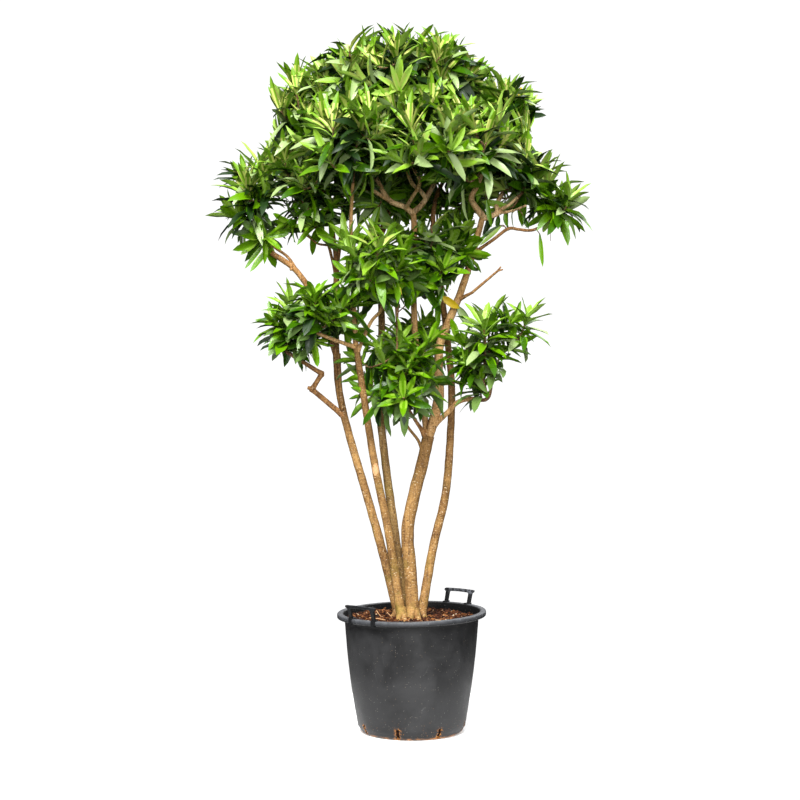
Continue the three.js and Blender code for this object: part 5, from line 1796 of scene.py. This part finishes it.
# Bark mix in the pot
def mix_finish():
    material, tree, shader = new_material("bark_mix", Roughness=0.95, Specular_IOR_Level=0.15)
    place = own_place(tree)
    lumps = speckled(tree, place, 70.0, 6.0, 0.65)
    crumbs = speckled(tree, place, 300.0, 3.0, 0.6)
    # The mix is near black between its lumps: partly the mix's own dark brown, partly painted shade in the
    # gaps between the chips.
    mix_and_painted_gap_shade = mixed(tree, ranged(tree, lumps, 0.35, 0.68), colour("#090402"), colour("#321a0d"))
    mix_and_painted_gap_shade = mixed(tree, ranged(tree, crumbs, 0.62, 0.72, 0.0, 0.6), mix_and_painted_gap_shade, colour("#8f6743"))
    tree.links.new(mix_and_painted_gap_shade, shader.inputs["Base Color"])
    bump(tree, shader, plus(tree, lumps, crumbs), 0.8, 0.004)
    return material


def chip_finish(name, deep, mean, pale):
    """Chips that differ from one to the next by their tint."""
    material, tree, shader = new_material(name, Roughness=0.9, Specular_IOR_Level=0.2)
    tint = add_node(tree, "ShaderNodeAttribute", attribute_name="tint").outputs["Fac"]
    place = own_place(tree)
    grain = speckled(tree, place, 260.0, 3.0, 0.6)
    shade = plus(tree, tint, ranged(tree, grain, 0.3, 0.7, -0.18, 0.18))
    brown = mixed(tree, ranged(tree, shade, 0.0, 0.55), colour(deep), colour(mean))
    brown = mixed(tree, ranged(tree, shade, 0.7, 1.0), brown, colour(pale))
    tree.links.new(brown, shader.inputs["Base Color"])
    bump(tree, shader, grain, 0.6, 0.0015)
    return material


MIX_FINISH = mix_finish()
CHIP_FINISH = chip_finish("bark_chips", "#0b0402", "#3c1b09", "#80522b")
FLECK_FINISH = chip_finish("pale_flecks", "#b99a73", "#d9c4a0", "#efe6d4")


def mix_rise(x, y):
    """The height of the mix over its plain top: mounded at the stems, uneven elsewhere."""
    mound = MOUND_RISE * math.exp(-((x / MOUND_HALF_X) ** 2 + (y / MOUND_HALF_Y) ** 2))
    mound += WALL_RISE * min(1.0, math.hypot(x, y) / SOIL_RADIUS) ** 4
    mound += LUMP_RISE * noise.noise((x * LUMPS_A_METRE, y * LUMPS_A_METRE, 1.0))
    return mound + CRUMB_RISE * noise.noise((x * CRUMBS_A_METRE, y * CRUMBS_A_METRE, 4.0))


def mix_piece():
    foot = wall_at(0) - FOOT_ROUNDING - MIX_GAP
    section = [(0.0, SOIL_FOOT), (foot, SOIL_FOOT)]
    levels = np.linspace(FOOT_ROUNDING + MIX_GAP, SOIL_TOP - MIX_EDGE, MIX_RINGS)
    section += [(wall_at(z) - WALL - MIX_GAP, z) for z in levels]
    section += [(SOIL_RADIUS, SOIL_TOP)]
    section += [(SOIL_RADIUS * share, SOIL_TOP) for share in MIX_TOP_SHARES]
    section += [(0.0, SOIL_TOP)]
    points, faces = spin(section, MIX_SEGMENTS, lambda angle, level: 0.0)
    risen = []
    for x, y, z in points:
        risen.append((x, y, z + mix_rise(x, y) if z > SOIL_TOP - GAP else z))
    obj = mesh_object("bark_mix", risen, faces, [MIX_FINISH])
    set_in_frame(obj, "potting_mix", "soil")


CHIP_SIZE_SEED = 7
CHIP_TINT_SEED = 21
CHIP_TILT = 0.6
CHIP_LEAST = (0.35, 0.4, 0.5)
CHIP_MOST = (1.35, 1.3, 1.3)
CROOK_SCALE = 90.0


def strewn_chips_tree():
    """A node tree that strews crooked chips over a bed, each with its own tint."""
    tree = bpy.data.node_groups.new("strewn_chips", "GeometryNodeTree")
    for label, kind in (("Bed", "Geometry"), ("Density", "Float"), ("Chip size", "Vector"),
                        ("Crook", "Float"), ("Seed", "Int"), ("Finish", "Material")):
        tree.interface.new_socket(label, in_out="INPUT", socket_type=f"NodeSocket{kind}")
    tree.interface.new_socket("Chips", in_out="OUTPUT", socket_type="NodeSocketGeometry")
    given = tree.nodes.new("NodeGroupInput").outputs
    spots = add_node(tree, "GeometryNodeDistributePointsOnFaces",
                     {"Mesh": given["Bed"], "Density": given["Density"], "Seed": given["Seed"]})
    chip = add_node(tree, "GeometryNodeMeshCube",
                    {"Size": given["Chip size"], "Vertices X": 4, "Vertices Y": 3})
    place = tree.nodes.new("GeometryNodeInputPosition").outputs[0]
    crook = add_node(tree, "ShaderNodeTexNoise", {"Vector": place, "Scale": CROOK_SCALE, "Detail": 2.0})
    centred = add_node(tree, "ShaderNodeVectorMath", {0: crook.outputs["Color"], 1: (0.5, 0.5, 0.5)},
                       operation="SUBTRACT")
    shift = add_node(tree, "ShaderNodeVectorMath", {0: centred.outputs[0], "Scale": given["Crook"]},
                     operation="SCALE")
    crooked = add_node(tree, "GeometryNodeSetPosition",
                       {"Geometry": chip.outputs["Mesh"], "Offset": shift.outputs[0]})
    turn = add_node(tree, "FunctionNodeRandomValue",
                    {0: (-CHIP_TILT, -CHIP_TILT, 0.0), 1: (CHIP_TILT, CHIP_TILT, FULL_TURN),
                     "Seed": given["Seed"]},
                    data_type="FLOAT_VECTOR")
    size = add_node(tree, "FunctionNodeRandomValue",
                    {0: CHIP_LEAST, 1: CHIP_MOST, "Seed": CHIP_SIZE_SEED},
                    data_type="FLOAT_VECTOR")
    strewn = add_node(tree, "GeometryNodeInstanceOnPoints",
                      {"Points": spots.outputs["Points"], "Instance": crooked.outputs[0],
                       "Rotation": turn.outputs[0], "Scale": size.outputs[0]})
    tint = add_node(tree, "FunctionNodeRandomValue", {2: 0.0, 3: 1.0, "Seed": CHIP_TINT_SEED},
                    data_type="FLOAT")
    marked = add_node(tree, "GeometryNodeStoreNamedAttribute",
                      {"Geometry": strewn.outputs[0], "Name": "tint", "Value": tint.outputs[1]},
                      data_type="FLOAT", domain="INSTANCE")
    real = add_node(tree, "GeometryNodeRealizeInstances", {"Geometry": marked.outputs[0]})
    done = add_node(tree, "GeometryNodeSetMaterial",
                    {"Geometry": real.outputs[0], "Material": given["Finish"]})
    tree.links.new(done.outputs[0], tree.nodes.new("NodeGroupOutput").inputs[0])
    return tree


STREWN_CHIPS = strewn_chips_tree()


def strewn_piece(name, density, size, crook, seed, finish):
    """Chips on the top of the mix, as one plain mesh."""
    points = []
    faces = []
    for i in range(BED_RINGS + 1):
        radius = (SOIL_RADIUS - BED_MARGIN) * (i + BED_CORE) / (BED_RINGS + BED_CORE)
        for j in range(BED_SEGMENTS):
            x = radius * math.cos(FULL_TURN * j / BED_SEGMENTS)
            y = radius * math.sin(FULL_TURN * j / BED_SEGMENTS)
            points.append((x, y, SOIL_TOP + mix_rise(x, y) + BED_LIFT))
            if i < BED_RINGS:
                k = (j + 1) % BED_SEGMENTS
                at = i * BED_SEGMENTS
                up = at + BED_SEGMENTS
                faces.append((at + j, up + j, up + k, at + k))
    obj = mesh_object(name, points, faces, [finish])
    scatter = obj.modifiers.new("strewn", "NODES")
    scatter.node_group = STREWN_CHIPS
    values = {"Density": density, "Chip size": size, "Crook": crook, "Seed": seed, "Finish": finish}
    for item in STREWN_CHIPS.interface.items_tree:
        if item.in_out == "INPUT" and item.name in values:
            scatter[item.identifier] = values[item.name]
    plain_mesh(obj)
    set_in_frame(obj, "potting_mix")


# Dry straws on the mix, with heights over its plain top
STRAW_RADIUS = 0.0016
STRAW_END = 0.001
STRAW_SEED = 60.0
STRAW_RINGS = 9
STRAW_SIDES = 6
STRAWS = (
    ((-0.13, 0.0, 0.034), (-0.117, 0.0, 0.016), (-0.104, 0.002, 0.004)),
    ((-0.09, -0.025, 0.03), (-0.079, -0.02, 0.018), (-0.068, -0.015, 0.004)),
    ((-0.155, -0.055, 0.015), (-0.125, -0.062, 0.013), (-0.095, -0.078, 0.009)),
    ((0.085, -0.095, 0.012), (0.11, -0.11, 0.013), (0.138, -0.118, 0.012)),
)


def straw_piece():
    whole = Joined()
    for k, places in enumerate(STRAWS):
        path = smooth_path(over_mix(places))
        whole.add(*strand(path, STRAW_RADIUS, STRAW_END, STRAW_RINGS, STRAW_SIDES, STRAW_SEED + k))
    joined_piece("dry_straws", whole, [TORN_WOOD], "potting_mix")


# What lies on the mix: name, number in a square metre, size, crook, seed and finish
STREWN = (
    ("bark_chips", 6200.0, (0.024, 0.01, 0.005), 0.012, 3, CHIP_FINISH),
    ("bark_crumbs", 5200.0, (0.009, 0.006, 0.004), 0.006, 11, CHIP_FINISH),
    ("pale_flecks", 700.0, (0.009, 0.005, 0.003), 0.005, 5, FLECK_FINISH),
)

mix_piece()
for kind in STREWN:
    strewn_piece(*kind)
straw_piece()


# Stage, light and camera
def stage():
    floor_finish, tree, shader = new_material("pale_floor", Roughness=0.9, Specular_IOR_Level=0.0)
    shader.inputs["Base Color"].default_value = FLOOR_COLOUR
    shader.inputs["Emission Color"].default_value = WHITE
    shader.inputs["Emission Strength"].default_value = FLOOR_GLOW
    turns = np.linspace(0, FULL_TURN, FLOOR_SEGMENTS, endpoint=False)
    rim = [(FLOOR_RADIUS * math.cos(a), FLOOR_RADIUS * math.sin(a), -FLOOR_SUNK) for a in turns]
    floor = mesh_object("floor", rim, [tuple(range(len(rim)))], [floor_finish])
    world = bpy.data.worlds.new("soft_white")
    world.use_nodes = True
    tree = world.node_tree
    sky = tree.nodes["Background"]
    way = add_node(tree, "ShaderNodeTexCoord").outputs["Generated"]
    rise = xyz(tree, way)[2]
    glow = ranged(tree, rise, SKY_LOW, 1.0, SKY_LEAST, SKY_MOST)
    seen = add_node(tree, "ShaderNodeLightPath").outputs["Is Camera Ray"]
    unseen = times(tree, glow, minus(tree, 1.0, seen))
    tree.links.new(plus(tree, unseen, times(tree, seen, BACKDROP_GLOW)), sky.inputs["Strength"])
    sky.inputs["Color"].default_value = WHITE
    scene = bpy.context.scene
    scene.world = world
    for name, place, spread, power in LIGHTS:
        light = bpy.data.lights.new(name, "SUN")
        light.angle = math.radians(spread)
        light.energy = power
        lamp = linked(name, light)
        lamp.location = place
        lamp.rotation_mode = "QUATERNION"
        lamp.rotation_quaternion = (-Vector(place)).to_track_quat("-Z", "Y")
    lens = bpy.data.cameras.new("camera")
    lens.lens = CAMERA_LENS
    lens.sensor_width = CAMERA_SENSOR
    lens.clip_end = CAMERA_FAR
    camera = linked("camera", lens)
    camera.location = CAMERA_PLACE
    camera.rotation_euler = (math.radians(90), 0.0, 0.0)
    scene.camera = camera
    scene.view_settings.view_transform = "Standard"
    scene.view_settings.look = "None"


stage()
